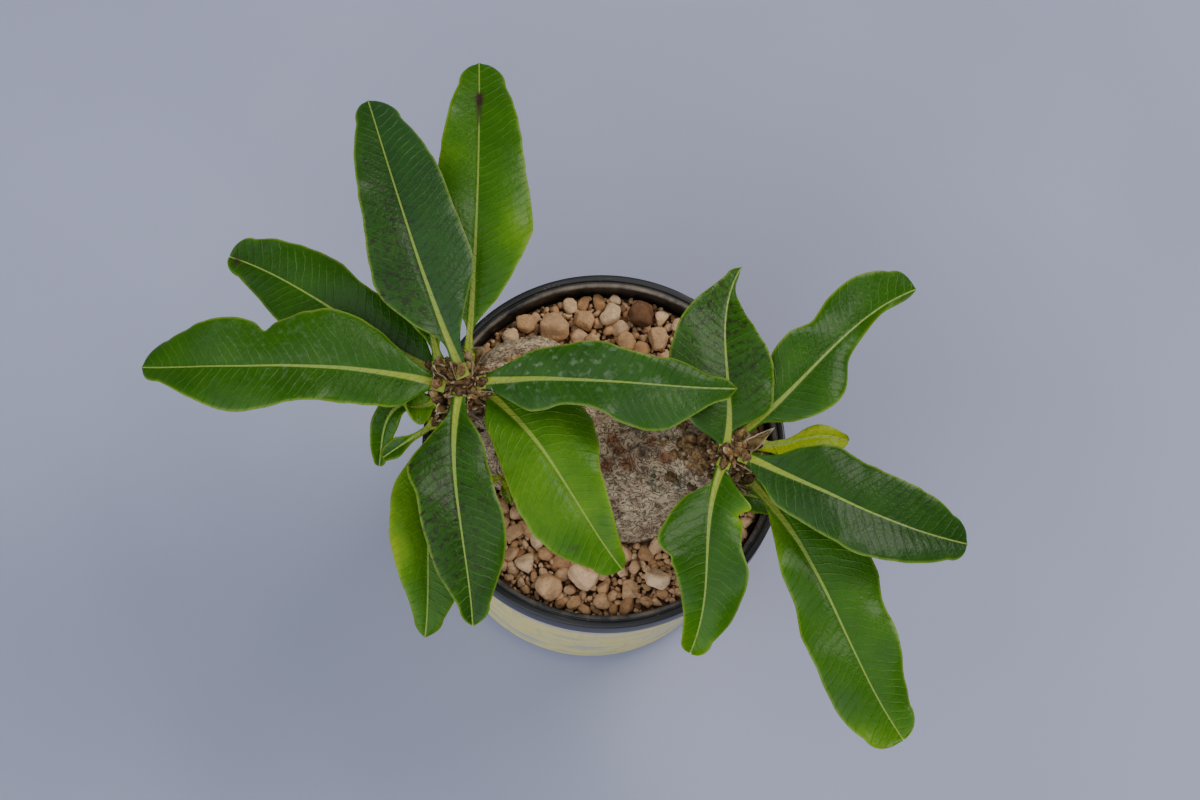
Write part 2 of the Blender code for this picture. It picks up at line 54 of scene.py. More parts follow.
# Leaves, by crown, in the same form as the frame's own solids: the cubic midrib's four points from
# the crown's middle, half widths at STATIONS to the left and right of it, fold in degrees, roll in
# degrees at base and tip, and ripple as height and number of waves. Then comes how it has aged, and a
# painted sheen: tone goes from 0, dark, to 1, yellow-green; point is how narrow the tip is, where 0.5
# is round; bloom is a painted bluish sheen, a reflection of the sky painted into the colour; and
# patches are (t, s, size, strength), with t from the crown to the tip, s from the left margin (-1) to
# the right and size in mm. Nicks are (t, side, depth, width).
Leaf = namedtuple("Leaf", "name midrib left right fold roll ripple ageing")
LEAVES = {
    "left": (
        Leaf("east", ((5, 0, 2), (24, 0, 11), (44, -4, 12), (64, -3, 7)),
             (4, 7, 8.5, 9.5, 7.5, 6.5, 6.5, 4), (5, 8, 6.5, 7, 10, 11, 9, 5), 8, (0, 4), (1.2, 2.0),
             {"tone": 0.2, "marks": ((0.2, -0.6, 9, 0.9), (0.45, -0.5, 8, 0.6), (0.7, -0.4, 6, 0.5)),
             "painted_sheen": 0.25, "point": 1.1}),
        Leaf("southeast", ((6, -2, -2), (20, -14, 4), (26, -32, 5), (37, -44, -3)),
             (5, 12, 14.5, 12.5, 9, 7, 5, 3), (6.5, 8.5, 10.5, 12, 13, 12.5, 10, 5.5), 6, (-4, 6),
             (1.0, 1.5),
             {"tone": 0.48, "yellow": ((0.6, -0.3, 16, 0.14), (0.4, 0.6, 10, 0.1)),
             "scars": ((0.8, 0.62, 0.9, 0.5),)}),
        Leaf("south", ((-1, -3, 2), (-5, -22, 7), (1, -40, 6), (2, -57, -3)), (3, 6.5, 8, 9, 10, 10, 8, 5),
             (2, 6, 11, 9.5, 9, 8, 6.5, 3.5), 8, (0, -6), (0.9, 2.0),
             {"tone": 0.14,
             "spots": ((0.35, 0.5, 13, 1), (0.6, 0.55, 12, 0.9), (0.8, 0.2, 6, 0.4)), "point": 0.75}),
        Leaf("southwest", ((-4, -8, -4), (-11, -26, 0), (-7, -43, 0), (-9, -59, -8)),
             (2, 6, 8, 9, 9.5, 9, 7.5, 4.5), (2, 5.5, 8.5, 9, 9, 7.5, 5.5, 3.5), 6, (-6, -4), (0.8, 1.5),
             {"tone": 0.42, "yellow": ((0.6, 0.9, 9, 0.3), (0.3, 0.9, 9, 0.25)), "point": 0.8}),
        Leaf("west", ((-7, 0, 1), (-31, 5, 7), (-54, 2, 6), (-76, 5, -3)),
             (7.5, 8.5, 8.5, 9, 10.5, 11, 8.5, 4), (5, 10.5, 14, 13.5, 11, 12, 10.5, 7), 8, (0, 5),
             (1.3, 2.5),
             {"tone": 0.28, "nicks": ((0.57, 1, 2.0, 1.6),), "marks": ((0.5, 0.5, 14, 0.3),)}),
        Leaf("northwest", ((-7, 4, -3), (-25, 13, 1), (-39, 26, 0), (-56, 34, -8)),
             (3, 7, 9, 10, 10, 9, 6.5, 4), (6, 8.5, 9, 9, 10.5, 10.5, 9, 6), 6, (0, -5), (1.0, 2.0),
             {"tone": 0.2, "scars": ((0.96, -0.1, 1.1, 0.9),), "spots": ((0.9, 0.2, 6, 0.6),)}),
        Leaf("north", ((-1, 3, 4), (-10, 23, 11), (-16, 45, 10), (-23, 71, 1)),
             (1.5, 7, 11.5, 11.5, 10, 9, 7.5, 4.5), (3, 7, 12, 12.5, 12, 11.5, 10, 6.5), 9, (0, 4),
             (1.0, 1.5),
             {"tone": 0.12, "painted_sheen": 0.5,
             "spots": ((0.3, -0.55, 12, 1), (0.55, -0.5, 14, 0.9))}),
        Leaf("northeast", ((1, 7, 0), (3, 30, 4), (4, 54, 4), (4, 83, -4)),
             (1, 6, 9.5, 11, 10.5, 9.5, 8, 5), (1, 6, 10.5, 13.5, 12.5, 11, 9.5, 6.5), 7, (0, -4),
             (1.2, 2.5),
             {"tone": 0.38, "yellow": ((0.45, 0.95, 9, 0.3), (0.7, -0.95, 8, 0.2)),
             "scars": ((0.79, 0, 0.4, 0.6), (0.8, 0, 0.4, 0.7), (0.81, 0, 0.45, 0.8), (0.82, 0, 0.45, 0.8),
             (0.83, 0, 0.5, 0.9), (0.84, 0, 0.5, 0.9), (0.85, 0, 0.55, 0.9), (0.86, 0, 0.6, 1),
             (0.87, 0, 0.8, 1), (0.88, 0, 0.95, 1), (0.89, 0, 0.7, 0.9))}),
        Leaf("hanging", ((-8, -2, -8), (-20, -1, -5), (-19, -11, -8), (-20, -16, -14)),
             (1, 2, 2.5, 3, 3, 2.5, 2.5, 1.5), (2, 3, 3.5, 3.5, 3.5, 3, 2.5, 1.5), 14, (0, 0), (0.4, 1.0),
             {"tone": 0.3}),
        Leaf("cupped", ((-6.5, -3, -3.4), (-9, -4, -6), (-13, -4.5, -6), (-14, -4.5, -2)),
             (1.6, 3, 4, 4.6, 4.6, 4.2, 3.6, 2.4), (1.6, 3, 4.2, 4.8, 4.8, 4.4, 3.8, 2.6), 14, (0, 0),
             (0.2, 1.0),
             {"tone": 0.5, "yellow": ((0.5, 0, 3, 0.3),)}),
        Leaf("curled", ((-7, -8, -6), (-11, -11, -6), (-15, -13, -7), (-19, -15, -11)),
             (0.9, 0.8, 0.8, 1, 1.7, 2.4, 2.2, 1.5), (0.9, 0.8, 0.8, 1, 1.7, 2.4, 2.2, 1.5), 20, (0, 0),
             (0.5, 2.0),
             {"tone": 0.15, "yellow": ((0.15, 0, 5, 0.8),)}),
        Leaf("hidden", ((-6, 6, -1), (-8, 15, 2), (-10, 24, 3), (-14, 35, 2)), (1, 2, 4, 5, 5, 4.5, 3.5, 2),
             (1, 2, 4, 5, 5, 4.5, 3.5, 2), 4, (0, 0), (0.3, 1.0), {"tone": 0.3}),
    ),
    "right": (
        Leaf("north", ((-2, 1, 2), (1, 14, 6), (-6, 31, 6), (3, 46, 1)),
             (8, 11, 13.5, 14, 13, 10.5, 6.5, 3), (1.5, 9.5, 11, 11, 9, 6, 3, 1), 10, (0, 8), (1.2, 1.5),
             {"tone": 0.22, "spots": ((0.75, -0.4, 9, 1), (0.45, 0.5, 12, 0.9), (0.55, -0.5, 6, 0.6)),
             "point": 0.9}),
        Leaf("northeast", ((2, 5, 0), (17, 15, 3), (27, 33, 3), (46, 42, -4)),
             (3, 6, 9, 10, 8, 9.5, 9.5, 6.5), (1.5, 6, 9.5, 9.5, 5, 3, 1.5, 1.5), 8, (0, 10), (1.4, 2.5),
             {"tone": 0.26}),
        Leaf("east", ((7, 3, -4), (14, 2, -3), (20, 7, -2), (28, 4, -5)), (1, 1, 1, 1.5, 2.5, 3, 2.5, 1.5),
             (2, 3, 4, 5, 5.5, 5.5, 4.5, 2.5), 10, (0, 0), (0.5, 1.0), {"tone": 0.95}),
        Leaf("southeast", ((3, -2, 3), (19, -10, 8), (35, -20, 8), (55, -22, -1)),
             (3, 8, 11.5, 11, 10.5, 10, 9, 6), (4.5, 8, 9, 10, 11, 10, 8, 5), 8, (0, -4), (0.9, 1.5),
             {"tone": 0.1, "painted_sheen": 0.15, "spots": ((0.4, 0.6, 8, 0.4), (0.7, 0.6, 7, 0.4))}),
        Leaf("long", ((4, -6, -4), (21, -24, 0), (25, -49, -1), (39, -67, -9)),
             (2, 7, 11, 13.5, 11.5, 11, 8.5, 6), (1.5, 4.5, 7.5, 8, 10, 10, 10, 8), 6, (0, 5), (1.4, 3.0),
             {"tone": 0.38, "yellow": ((0.2, 0.8, 7, 0.3), (0.95, 0.8, 6, 0.3))}),
        Leaf("south", ((-3, -4, 2), (-10, -19, 7), (-5, -34, 5), (-11, -47, -4)),
             (5, 9.5, 8, 8, 9.5, 9, 7.5, 4), (1.5, 6.5, 10, 12, 8, 6, 4.5, 3.5), 12, (0, -6), (1.6, 2.0),
             {"tone": 0.25, "nicks": ((0.25, -1, 2.4, 1.4), (0.5, 1, 1.2, 1.2)),
             "yellow": ((0.25, -0.95, 4, 0.6), (0.95, 0.0, 8, 0.3))}),
        Leaf("low", ((0, -7, -10), (4, -8, -8), (8, -9, -9), (12, -11, -11)), (2, 3, 4, 4.5, 4.5, 4, 3, 2),
             (2, 3, 3.5, 4, 4, 3.5, 3, 1.5), 6, (0, 0), (0.3, 1.0), {"tone": 0.35}),
    ),
}

# Colours, and strengths of the room's light and the lamps
LEAF_RAMP = ((0.0, "#163A00"), (0.25, "#265200"), (0.5, "#376600"), (0.75, "#568200"), (1.0, "#8C9C00"))
MARGIN, MIDRIB, PETIOLE = "#768F20", "#839A42", "#8C9B34"
FLOOR_LOW, FLOOR_HIGH = "#999EB7", "#A1A6BF"
ROOM_DIM, ROOM_BRIGHT, KEY_POWER, FILL_POWER = 0.25, 1.75, 13.5, 4.0

# Tiny new leaves low on the stem, at the left: base point, heading, length, half width, tone.
SHOOT_LEAVES = (
    ((-25.4, -7.4, 77.5), 200, 3.4, 0.9, 0.9),
    ((-25.0, -7.8, 77.6), 280, 3.0, 0.8, 0.95),
    ((-24.8, -7.0, 77.8), 330, 2.6, 0.7, 0.85),
    ((-24.6, -9.0, 75.5), 285, 5.2, 1.5, 0.6),
)

# Papery bracts: crown, offset from its middle, heading, tilt, length, width.
BRACTS = {
    "bract_right_pointed": ("right", (4, 1.5, 1), 32, 25, 7.5, 3.5),
    "bract_right_cupped": ("right", (6.2, -1.5, -4.6), -28, 20, 4.5, 3.6),
    "bract_right_low": ("right", (2.6, -3.6, -5.6), -62, 8, 5, 6.5),
    "bract_left_upper": ("left", (-5.5, 2.5, 3), 160, 35, 3.2, 2.6),
    "bract_left_lower": ("left", (-5, -6, 0), 235, 30, 3.6, 2.8),
}

# Marks on the bark, seen from above: x, y and radius. The eye is a deeper pit.
LEAF_SCARS = ((1.1, -0.9, 1.7), (2.9, -3.5, 1.6), (-0.4, -7.0, 1.9), (4.8, -6.8, 2.0), (13.5, -6, 1.8),
              (10.5, -1.5, 1.5), (-21, 20, 1.8), (-27, 14, 1.6))
MOSS_PATCHES = ((11.3, -10.5, 2.6), (2.7, -18.9, 2.2), (9.0, 1.5, 2.2), (-24, 12, 2.4), (17.5, -12, 2.2))
EYE = (8.2, -4.5, 1.5)

# Middle of each crown: x, y and height above the grit.
CROWNS = {"left": (-35, 8, 36), "right": (29, -8, 33)}
TOP_SCALES, TOP_REACH = 96, 6.6            # scales on each crown, and how far out they go
ARM_ROWS = 30                              # knobs in rows down each arm
ARM_FEET = {"left": Vector((-27, 9, 86)), "right": Vector((17, -4, 86))}
# Single knobs near the foot of each arm: x, y and radius.
ARM_KNOBS = {
    "left": ((-24.5, 8.5, 1.3), (-26.0, 5.0, 1.4), (-25.5, 12.0, 1.2)),
    "right": ((19.7, -2.2, 1.7), (23.0, -2.5, 1.6), (21.2, -6.5, 1.5), (19.4, -4.4, 1.3), (17.7, -3.0, 1.2),
              (21.7, -9.2, 1.6), (18.0, -5.8, 1.2)),
}
HEADSPACE = 6.0

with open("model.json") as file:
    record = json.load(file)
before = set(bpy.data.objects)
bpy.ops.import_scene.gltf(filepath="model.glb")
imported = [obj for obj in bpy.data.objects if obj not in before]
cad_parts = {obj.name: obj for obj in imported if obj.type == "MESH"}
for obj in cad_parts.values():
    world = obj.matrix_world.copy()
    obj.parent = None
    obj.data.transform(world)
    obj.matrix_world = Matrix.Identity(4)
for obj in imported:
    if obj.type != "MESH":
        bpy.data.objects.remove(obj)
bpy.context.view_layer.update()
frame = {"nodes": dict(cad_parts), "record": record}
POT_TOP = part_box("pot")[1].z / MM
RIM_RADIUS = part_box("pot")[1].x / MM
GRIT_TOP = POT_TOP - HEADSPACE


# ---------------------------------------------------------------- colours and nodes

def linear(colour):
    """An sRGB hex colour such as #9A8578, turned to linear red, green, blue and alpha."""
    channels = [int(colour[i:i + 2], 16) / 255 for i in (1, 3, 5)]
    return tuple(c / 12.92 if c <= 0.04045 else ((c + 0.055) / 1.055) ** 2.4 for c in channels) + (1.0,)


def link(node, sources):
    """Links sources to a node's sockets. A source is a socket, or a node for its main output."""
    for socket, source in sources.items():
        if isinstance(source, bpy.types.Node):
            source = source.outputs[MIXED if source.bl_idname == "ShaderNodeMix" else 0]
        node.id_data.links.new(source, node.inputs[socket])


def add_node(tree, kind, inputs=None, links=None, stops=None, **settings):
    """Adds one shader node, with its settings, socket values, links and, for a ramp, its stops.

    A Mix node mixes colours.
    """
    node = tree.nodes.new("ShaderNode" + kind)
    if kind == "Mix":
        node.data_type = "RGBA"
    for name, value in settings.items():
        setattr(node, name, value)
    for socket, value in (inputs or {}).items():
        node.inputs[socket].default_value = value
    link(node, links or {})
    if stops:
        elements = node.color_ramp.elements
        while len(elements) < len(stops):
            elements.new(0.5)
        for element, (place, colour) in zip(elements, stops):
            element.position = place
            element.color = linear(colour)
    return node


def per_mm(size):
    """Scale of a texture on coordinates in metres whose cells are to be this many mm across."""
    return 1 / (size * MM)


def new_material(name, **values):
    """A material, a function that adds nodes to it, its shader and its object coordinates.

    The values are the shader's socket settings, with _ for a space.
    """
    mat = bpy.data.materials.new(name)
    mat.use_nodes = True
    shader = mat.node_tree.nodes["Principled BSDF"]
    for socket, value in values.items():
        shader.inputs[socket.replace("_", " ")].default_value = value
    add = partial(add_node, mat.node_tree)
    return mat, add, shader, add("TexCoord").outputs["Object"]


# ---------------------------------------------------------------- materials

def waxy_leaf():
    """Living leaf with a waxy cuticle: glossy dark green, pale midrib, fine side veins, thin margin.

    The blade's mesh carries tone, vein phase, distance from the margin, marks of age and a painted
    bluish sheen as attributes.
    """
    mat, add, shader, place = new_material("waxy leaf blade", IOR=1.4, Specular_IOR_Level=0.27,
        Coat_Weight=0.07, Coat_Roughness=0.16)
    named = {name: add("Attribute", attribute_name=name).outputs["Fac"] for name in LEAF_LAYERS}

    # Blade: dark to yellow-green, in clouds about 9 mm wide with mottling of about 1.2 mm.
    clouds = add("TexNoise", {"Scale": per_mm(9), "Detail": 2.0}, {"Vector": place})
    mottle = add("TexNoise", {"Scale": per_mm(1.2), "Detail": 3.0}, {"Vector": place})
    cloudy = add("Math", {1: 0.34, 2: -0.25}, {0: clouds}, operation="MULTIPLY_ADD")
    mottled = add("Math", {1: 0.16}, {0: mottle, 2: cloudy}, operation="MULTIPLY_ADD")
    tone = add("Math", links={0: mottled, 1: named["tone"]}, operation="ADD")
    blade = add("ValToRGB", links={0: tone}, stops=LEAF_RAMP)

    # Side veins: faint paler lines about 0.5 mm wide, uneven in course and strength, ending short
    # of the margin. They take the blade's own colour, lightened.
    sway = add("TexNoise", {"Scale": per_mm(5), "Detail": 1.0}, {"Vector": place})
    swayed = add("Math", {1: 0.9}, {0: sway, 2: named["vein"]}, operation="MULTIPLY_ADD")
    turn = add("Math", links={0: swayed}, operation="FRACT")
    offset = add("Math", {1: 0.5}, {0: turn}, operation="SUBTRACT")
    nearness = add("Math", links={0: offset}, operation="ABSOLUTE")
    line = add("MapRange", {"From Min": 0.38, "From Max": 0.5}, {"Value": nearness},
        interpolation_type="SMOOTHSTEP")
    patchy = add("MapRange", {"From Min": 0.35, "From Max": 0.65, "To Min": 0.3, "To Max": 0.75},
        {"Value": clouds})
    inside = add("MapRange", {"From Min": 0.6, "From Max": 2.4}, {"Value": named["margin"]},
        interpolation_type="SMOOTHSTEP")
    strength = add("Math", links={0: patchy, 1: inside}, operation="MULTIPLY")
    vein = add("Math", links={0: line, 1: strength}, operation="MULTIPLY")
    paler = add("VectorMath", {1: (1.5, 1.25, 1.5), 2: (0.018, 0.028, 0.007)}, {0: blade},
        operation="MULTIPLY_ADD")
    veined = add("Mix", links={MIX_SHARE: vein, MIX_FROM: blade, MIX_TO: paler})

    # Margin: a yellow-green line that is about 0.5 mm wide.
    rim = add("MapRange", {"From Min": 0.8, "From Max": 0.1, "To Max": 0.55}, {"Value": named["margin"]},
        interpolation_type="SMOOTHSTEP")
    rimmed = add("Mix", {MIX_TO: linear(MARGIN)}, {MIX_SHARE: rim, MIX_FROM: veined})

    # Sooty stippling, in grains of about 1 mm.
    soot = add("TexNoise", {"Scale": per_mm(1.5), "Detail": 4.0, "Roughness": 0.7}, {"Vector": place})
    sooty = add("MapRange", {"From Min": 0.5, "From Max": 0.62, "To Max": 0.75}, {"Value": soot},
        interpolation_type="SMOOTHSTEP")
    spotted = add("Math", links={0: sooty, 1: named["spots"]}, operation="MULTIPLY")
    aged = add("Mix", {MIX_TO: linear("#221A10")}, {MIX_SHARE: spotted, MIX_FROM: rimmed})

    # Midrib: pale, turning yellow-green and fleshy in the petiole.
    core = add("MapRange", {"From Min": 1.25, "From Max": 0.65}, {"Value": named["rib"]},
        interpolation_type="SMOOTHSTEP")
    flesh = add("Mix", {MIX_FROM: linear(MIDRIB), MIX_TO: linear(PETIOLE)}, {MIX_SHARE: named["petiole"]})
    ribbed = add("Mix", links={MIX_SHARE: core, MIX_FROM: aged, MIX_TO: flesh})

    # Corky scars, dried water marks and a painted bluish sheen, a reflection of the sky painted into the
    # colour.
    scarred = add("Mix", {MIX_TO: linear("#33231A")}, {MIX_SHARE: named["scar"], MIX_FROM: ribbed})
    drops = add("TexNoise", {"Scale": per_mm(1.7), "Detail": 2.0}, {"Vector": place})
    dried = add("MapRange", {"From Min": 0.52, "From Max": 0.72, "To Max": 0.4}, {"Value": drops},
        interpolation_type="SMOOTHSTEP")
    dry = add("Math", links={0: dried, 1: named["marks"]}, operation="MULTIPLY")
    marked = add("Mix", {MIX_TO: linear("#93A38C")}, {MIX_SHARE: dry, MIX_FROM: scarred})
    painted_sheen = add("Math", {1: 0.4}, {0: named["painted_sheen"]}, operation="MULTIPLY")
    with_painted_sheen = add("Mix", {MIX_TO: linear("#3A5A45")}, {MIX_SHARE: painted_sheen, MIX_FROM: marked})

    # Underside: paler and duller than the top.
    below = add("Math", {1: 0.45}, {0: named["under"]}, operation="MULTIPLY")
    both = add("Mix", {MIX_TO: linear("#84A04C")}, {MIX_SHARE: below, MIX_FROM: with_painted_sheen})

    shine = add("MapRange", {"From Min": 0.3, "From Max": 0.7, "To Min": 0.3, "To Max": 0.44},
        {"Value": mottle})
    dull = add("Math", {1: 0.22}, {0: named["under"], 2: shine}, operation="MULTIPLY_ADD")

    # Relief: veins lie in shallow grooves, with cells about 0.8 mm wide between them.
    cells = add("TexNoise", {"Scale": per_mm(0.8), "Detail": 3.0}, {"Vector": place})
    relief = add("Math", {1: -0.5}, {0: line, 2: cells}, operation="MULTIPLY_ADD")
    bump = add("Bump", {"Strength": 0.7, "Distance": 0.28 * MM}, {"Height": relief})
    link(shader, {"Base Color": both, "Roughness": dull, "Normal": bump})
    return mat


def wrinkled_bark():
    """Old corky stem skin: dull grey-tan with worm-like ridges, dark cracks, brown scars and moss."""
    mat, add, shader, place = new_material("wrinkled corky bark",
        Roughness=0.85, IOR=1.5, Specular_IOR_Level=0.3)
    crack, scar, moss, arm = (add("Attribute", attribute_name=name).outputs["Fac"]
        for name in ("crack", "scar", "moss", "arm"))
    patches = add("TexNoise", {"Scale": per_mm(4), "Detail": 5.0}, {"Vector": place})
    skin = add("ValToRGB", links={0: patches}, stops=((0.3, "#8F7A62"), (0.45, "#BCA486"),
        (0.58, "#D4C09E"), (0.72, "#B09A80")))
    browned = add("Mix", {MIX_TO: linear("#7A6444")}, {MIX_SHARE: arm, MIX_FROM: skin})
    ringed = add("Mix", {MIX_TO: linear("#98694A")}, {MIX_SHARE: scar, MIX_FROM: browned})
    tuft = add("TexNoise", {"Scale": per_mm(1.1), "Detail": 3.0}, {"Vector": place})
    tufts = add("MapRange", {"From Min": 0.4, "From Max": 0.6}, {"Value": tuft})
    mossy = add("Math", links={0: moss, 1: tufts}, operation="MULTIPLY")
    greened = add("Mix", {MIX_TO: linear("#3F4A36")}, {MIX_SHARE: mossy, MIX_FROM: ringed})

    # Worm-like wrinkles 1 to 2 mm apart, as the zero lines of a warped noise that is squashed upright.
    squashed = add("Mapping", {"Scale": (0.8, 1.0, 1.6)}, {"Vector": place})
    wander = add("TexNoise", {"Scale": per_mm(2.3), "Detail": 1.5, "Distortion": 2.2}, {"Vector": squashed})
    level = add("Math", {1: 0.5}, {0: wander}, operation="SUBTRACT")
    gap = add("Math", links={0: level}, operation="ABSOLUTE")
    fine = add("MapRange", {"From Min": 0.05, "From Max": 0.0, "To Max": 0.75}, {"Value": gap},
        interpolation_type="SMOOTHSTEP")
    dark = add("Math", links={0: fine, 1: crack}, operation="MAXIMUM")
    lined = add("Mix", {MIX_TO: linear("#4A3A2E")}, {MIX_SHARE: dark, MIX_FROM: greened})
    height = add("Math", {1: -1.0}, {0: fine, 2: patches}, operation="MULTIPLY_ADD")
    bump = add("Bump", {"Strength": 0.9, "Distance": 0.6 * MM}, {"Height": height})
    link(shader, {"Base Color": lined, "Normal": bump})
    return mat


def scaly_crown():
    """Dry leaf bases at a crown: dull brown and tan, with papery pale tips. Attribute tone varies them."""
    mat, add, shader, place = new_material("dry leaf base",
        Roughness=0.75, IOR=1.48, Specular_IOR_Level=0.35)
    tone, tip = (add("Attribute", attribute_name=name).outputs["Fac"] for name in ("tone", "tip"))
    fibre = add("TexNoise", {"Scale": per_mm(0.9), "Detail": 5.0, "Roughness": 0.7}, {"Vector": place})
    varied = add("Math", {1: 2.0}, {0: fibre, 2: tone}, operation="MULTIPLY_ADD")
    shifted = add("Math", {1: 0.95}, {0: varied}, operation="SUBTRACT")
    husk = add("ValToRGB", links={0: shifted}, stops=((0.1, "#3A2814"), (0.35, "#6C5230"),
        (0.6, "#927448"), (0.8, "#AE9260"), (1.0, "#D0BC96")))
    tipped = add("Mix", {MIX_TO: linear("#BFAE93")}, {MIX_SHARE: tip, MIX_FROM: husk})
    bump = add("Bump", {"Strength": 1.0, "Distance": 0.5 * MM}, {"Height": fibre})
    link(shader, {"Base Color": tipped, "Normal": bump})
    return mat


def papery_bract():
    """Dried bract, thin as paper: brown with lengthwise fibres and a bleached edge."""
    mat, add, shader, place = new_material("dried papery bract",
        Roughness=0.7, IOR=1.46, Specular_IOR_Level=0.4)
    edge = add("Attribute", attribute_name="edge").outputs["Fac"]
    grain = add("TexNoise", {"Scale": per_mm(1.0), "Detail": 4.0}, {"Vector": place})
    body = add("ValToRGB", links={0: grain}, stops=((0.3, "#43341A"), (0.5, "#6F5A30"), (0.7, "#947B4A")))
    bleached = add("Mix", {MIX_TO: linear("#D2C2A4")}, {MIX_SHARE: edge, MIX_FROM: body})
    bump = add("Bump", {"Strength": 0.5, "Distance": 0.2 * MM}, {"Height": grain})
    link(shader, {"Base Color": bleached, "Normal": bump})
    return mat


def fired_clay_stone():
    """Baked clay granules, as used for such plants: dull, porous, dusty tan to orange-brown."""
    mat, add, shader, place = new_material("baked clay granule",
        Roughness=0.92, IOR=1.5, Specular_IOR_Level=0.2)
    tone = add("Attribute", attribute_name="tone").outputs["Fac"]
    cloud = add("TexNoise", {"Scale": per_mm(2.4), "Detail": 5.0, "Roughness": 0.6}, {"Vector": place})
    pores = add("TexNoise", {"Scale": per_mm(0.45), "Detail": 2.0}, {"Vector": place})
    clay = add("ValToRGB", links={0: tone}, stops=((0.0, "#5E4030"), (0.15, "#AA8058"), (0.35, "#C29A70"),
        (0.6, "#D2AC84"), (0.8, "#DEBC94"), (1.0, "#EACFAB")))
    shade = add("MapRange", {"From Min": 0.35, "From Max": 0.65, "To Min": 0.72, "To Max": 1.12},
        {"Value": cloud})
    shaded = add("VectorMath", links={0: clay, 1: shade}, operation="MULTIPLY")
    hole = add("MapRange", {"From Min": 0.4, "From Max": 0.3, "To Max": 0.5}, {"Value": pores})
    pitted = add("Mix", {MIX_TO: linear("#5A3A26")}, {MIX_SHARE: hole, MIX_FROM: shaded})
    grit = add("Math", links={0: pores, 1: cloud}, operation="ADD")
    bump = add("Bump", {"Strength": 0.6, "Distance": 0.25 * MM}, {"Height": grit})
    link(shader, {"Base Color": pitted, "Normal": bump})
    return mat


def earth(name, low, high, grain):
    """Loose earth: dull dark crumbs; grain is their size in mm."""
    mat, add, shader, place = new_material(name, Roughness=0.95, Specular_IOR_Level=0.15)
    crumbs = add("TexNoise", {"Scale": per_mm(grain), "Detail": 5.0}, {"Vector": place})
    tint = add("ValToRGB", links={0: crumbs}, stops=((0.35, low), (0.65, high)))
    bump = add("Bump", {"Strength": 0.9, "Distance": 0.8 * MM}, {"Height": crumbs})
    link(shader, {"Base Color": tint, "Normal": bump})
    return mat


def moulded_polypropylene():
    """Black injection-moulded pot: satin, with a dusty inner rim, pale flecks and fine scratches."""
    mat, add, shader, place = new_material("moulded black polypropylene", IOR=1.49, Specular_IOR_Level=0.5)
    dusty, around, radius = (add("Attribute", attribute_name=name).outputs["Fac"]
        for name in ("dust", "around", "radius"))
    film = add("TexNoise", {"Scale": per_mm(6), "Detail": 5.0, "Roughness": 0.65}, {"Vector": place})
    patchy = add("MapRange", {"From Min": 0.38, "From Max": 0.62}, {"Value": film})
    settled = add("Math", links={0: dusty, 1: patchy}, operation="MULTIPLY")
    fleck = add("TexNoise", {"Scale": per_mm(0.9), "Detail": 1.0}, {"Vector": place})
    flecks = add("MapRange", {"From Min": 0.72, "From Max": 0.78, "To Max": 0.55}, {"Value": fleck})
    ring = add("CombineXYZ", links={"X": around, "Y": radius})
    drawn = add("Mapping", {"Scale": (0.09, 2.6, 1.0)}, {"Vector": ring})
    scratch = add("TexNoise", {"Scale": 1.0, "Detail": 3.0}, {"Vector": drawn})
    scratches = add("MapRange", {"From Min": 0.66, "From Max": 0.72, "To Max": 0.35}, {"Value": scratch})
    worn = add("Math", links={0: flecks, 1: scratches}, operation="MAXIMUM")
    grey = add("Math", links={0: worn, 1: settled}, operation="MAXIMUM")
    colour = add("Mix", {MIX_FROM: linear("#1D1E21"), MIX_TO: linear("#8C8070")}, {MIX_SHARE: grey})
    rough = add("MapRange", {"To Min": 0.36, "To Max": 0.8}, {"Value": grey})
    bump = add("Bump", {"Strength": 0.12, "Distance": 0.1 * MM}, {"Height": scratch})
    link(shader, {"Base Color": colour, "Roughness": rough, "Normal": bump})
    return mat


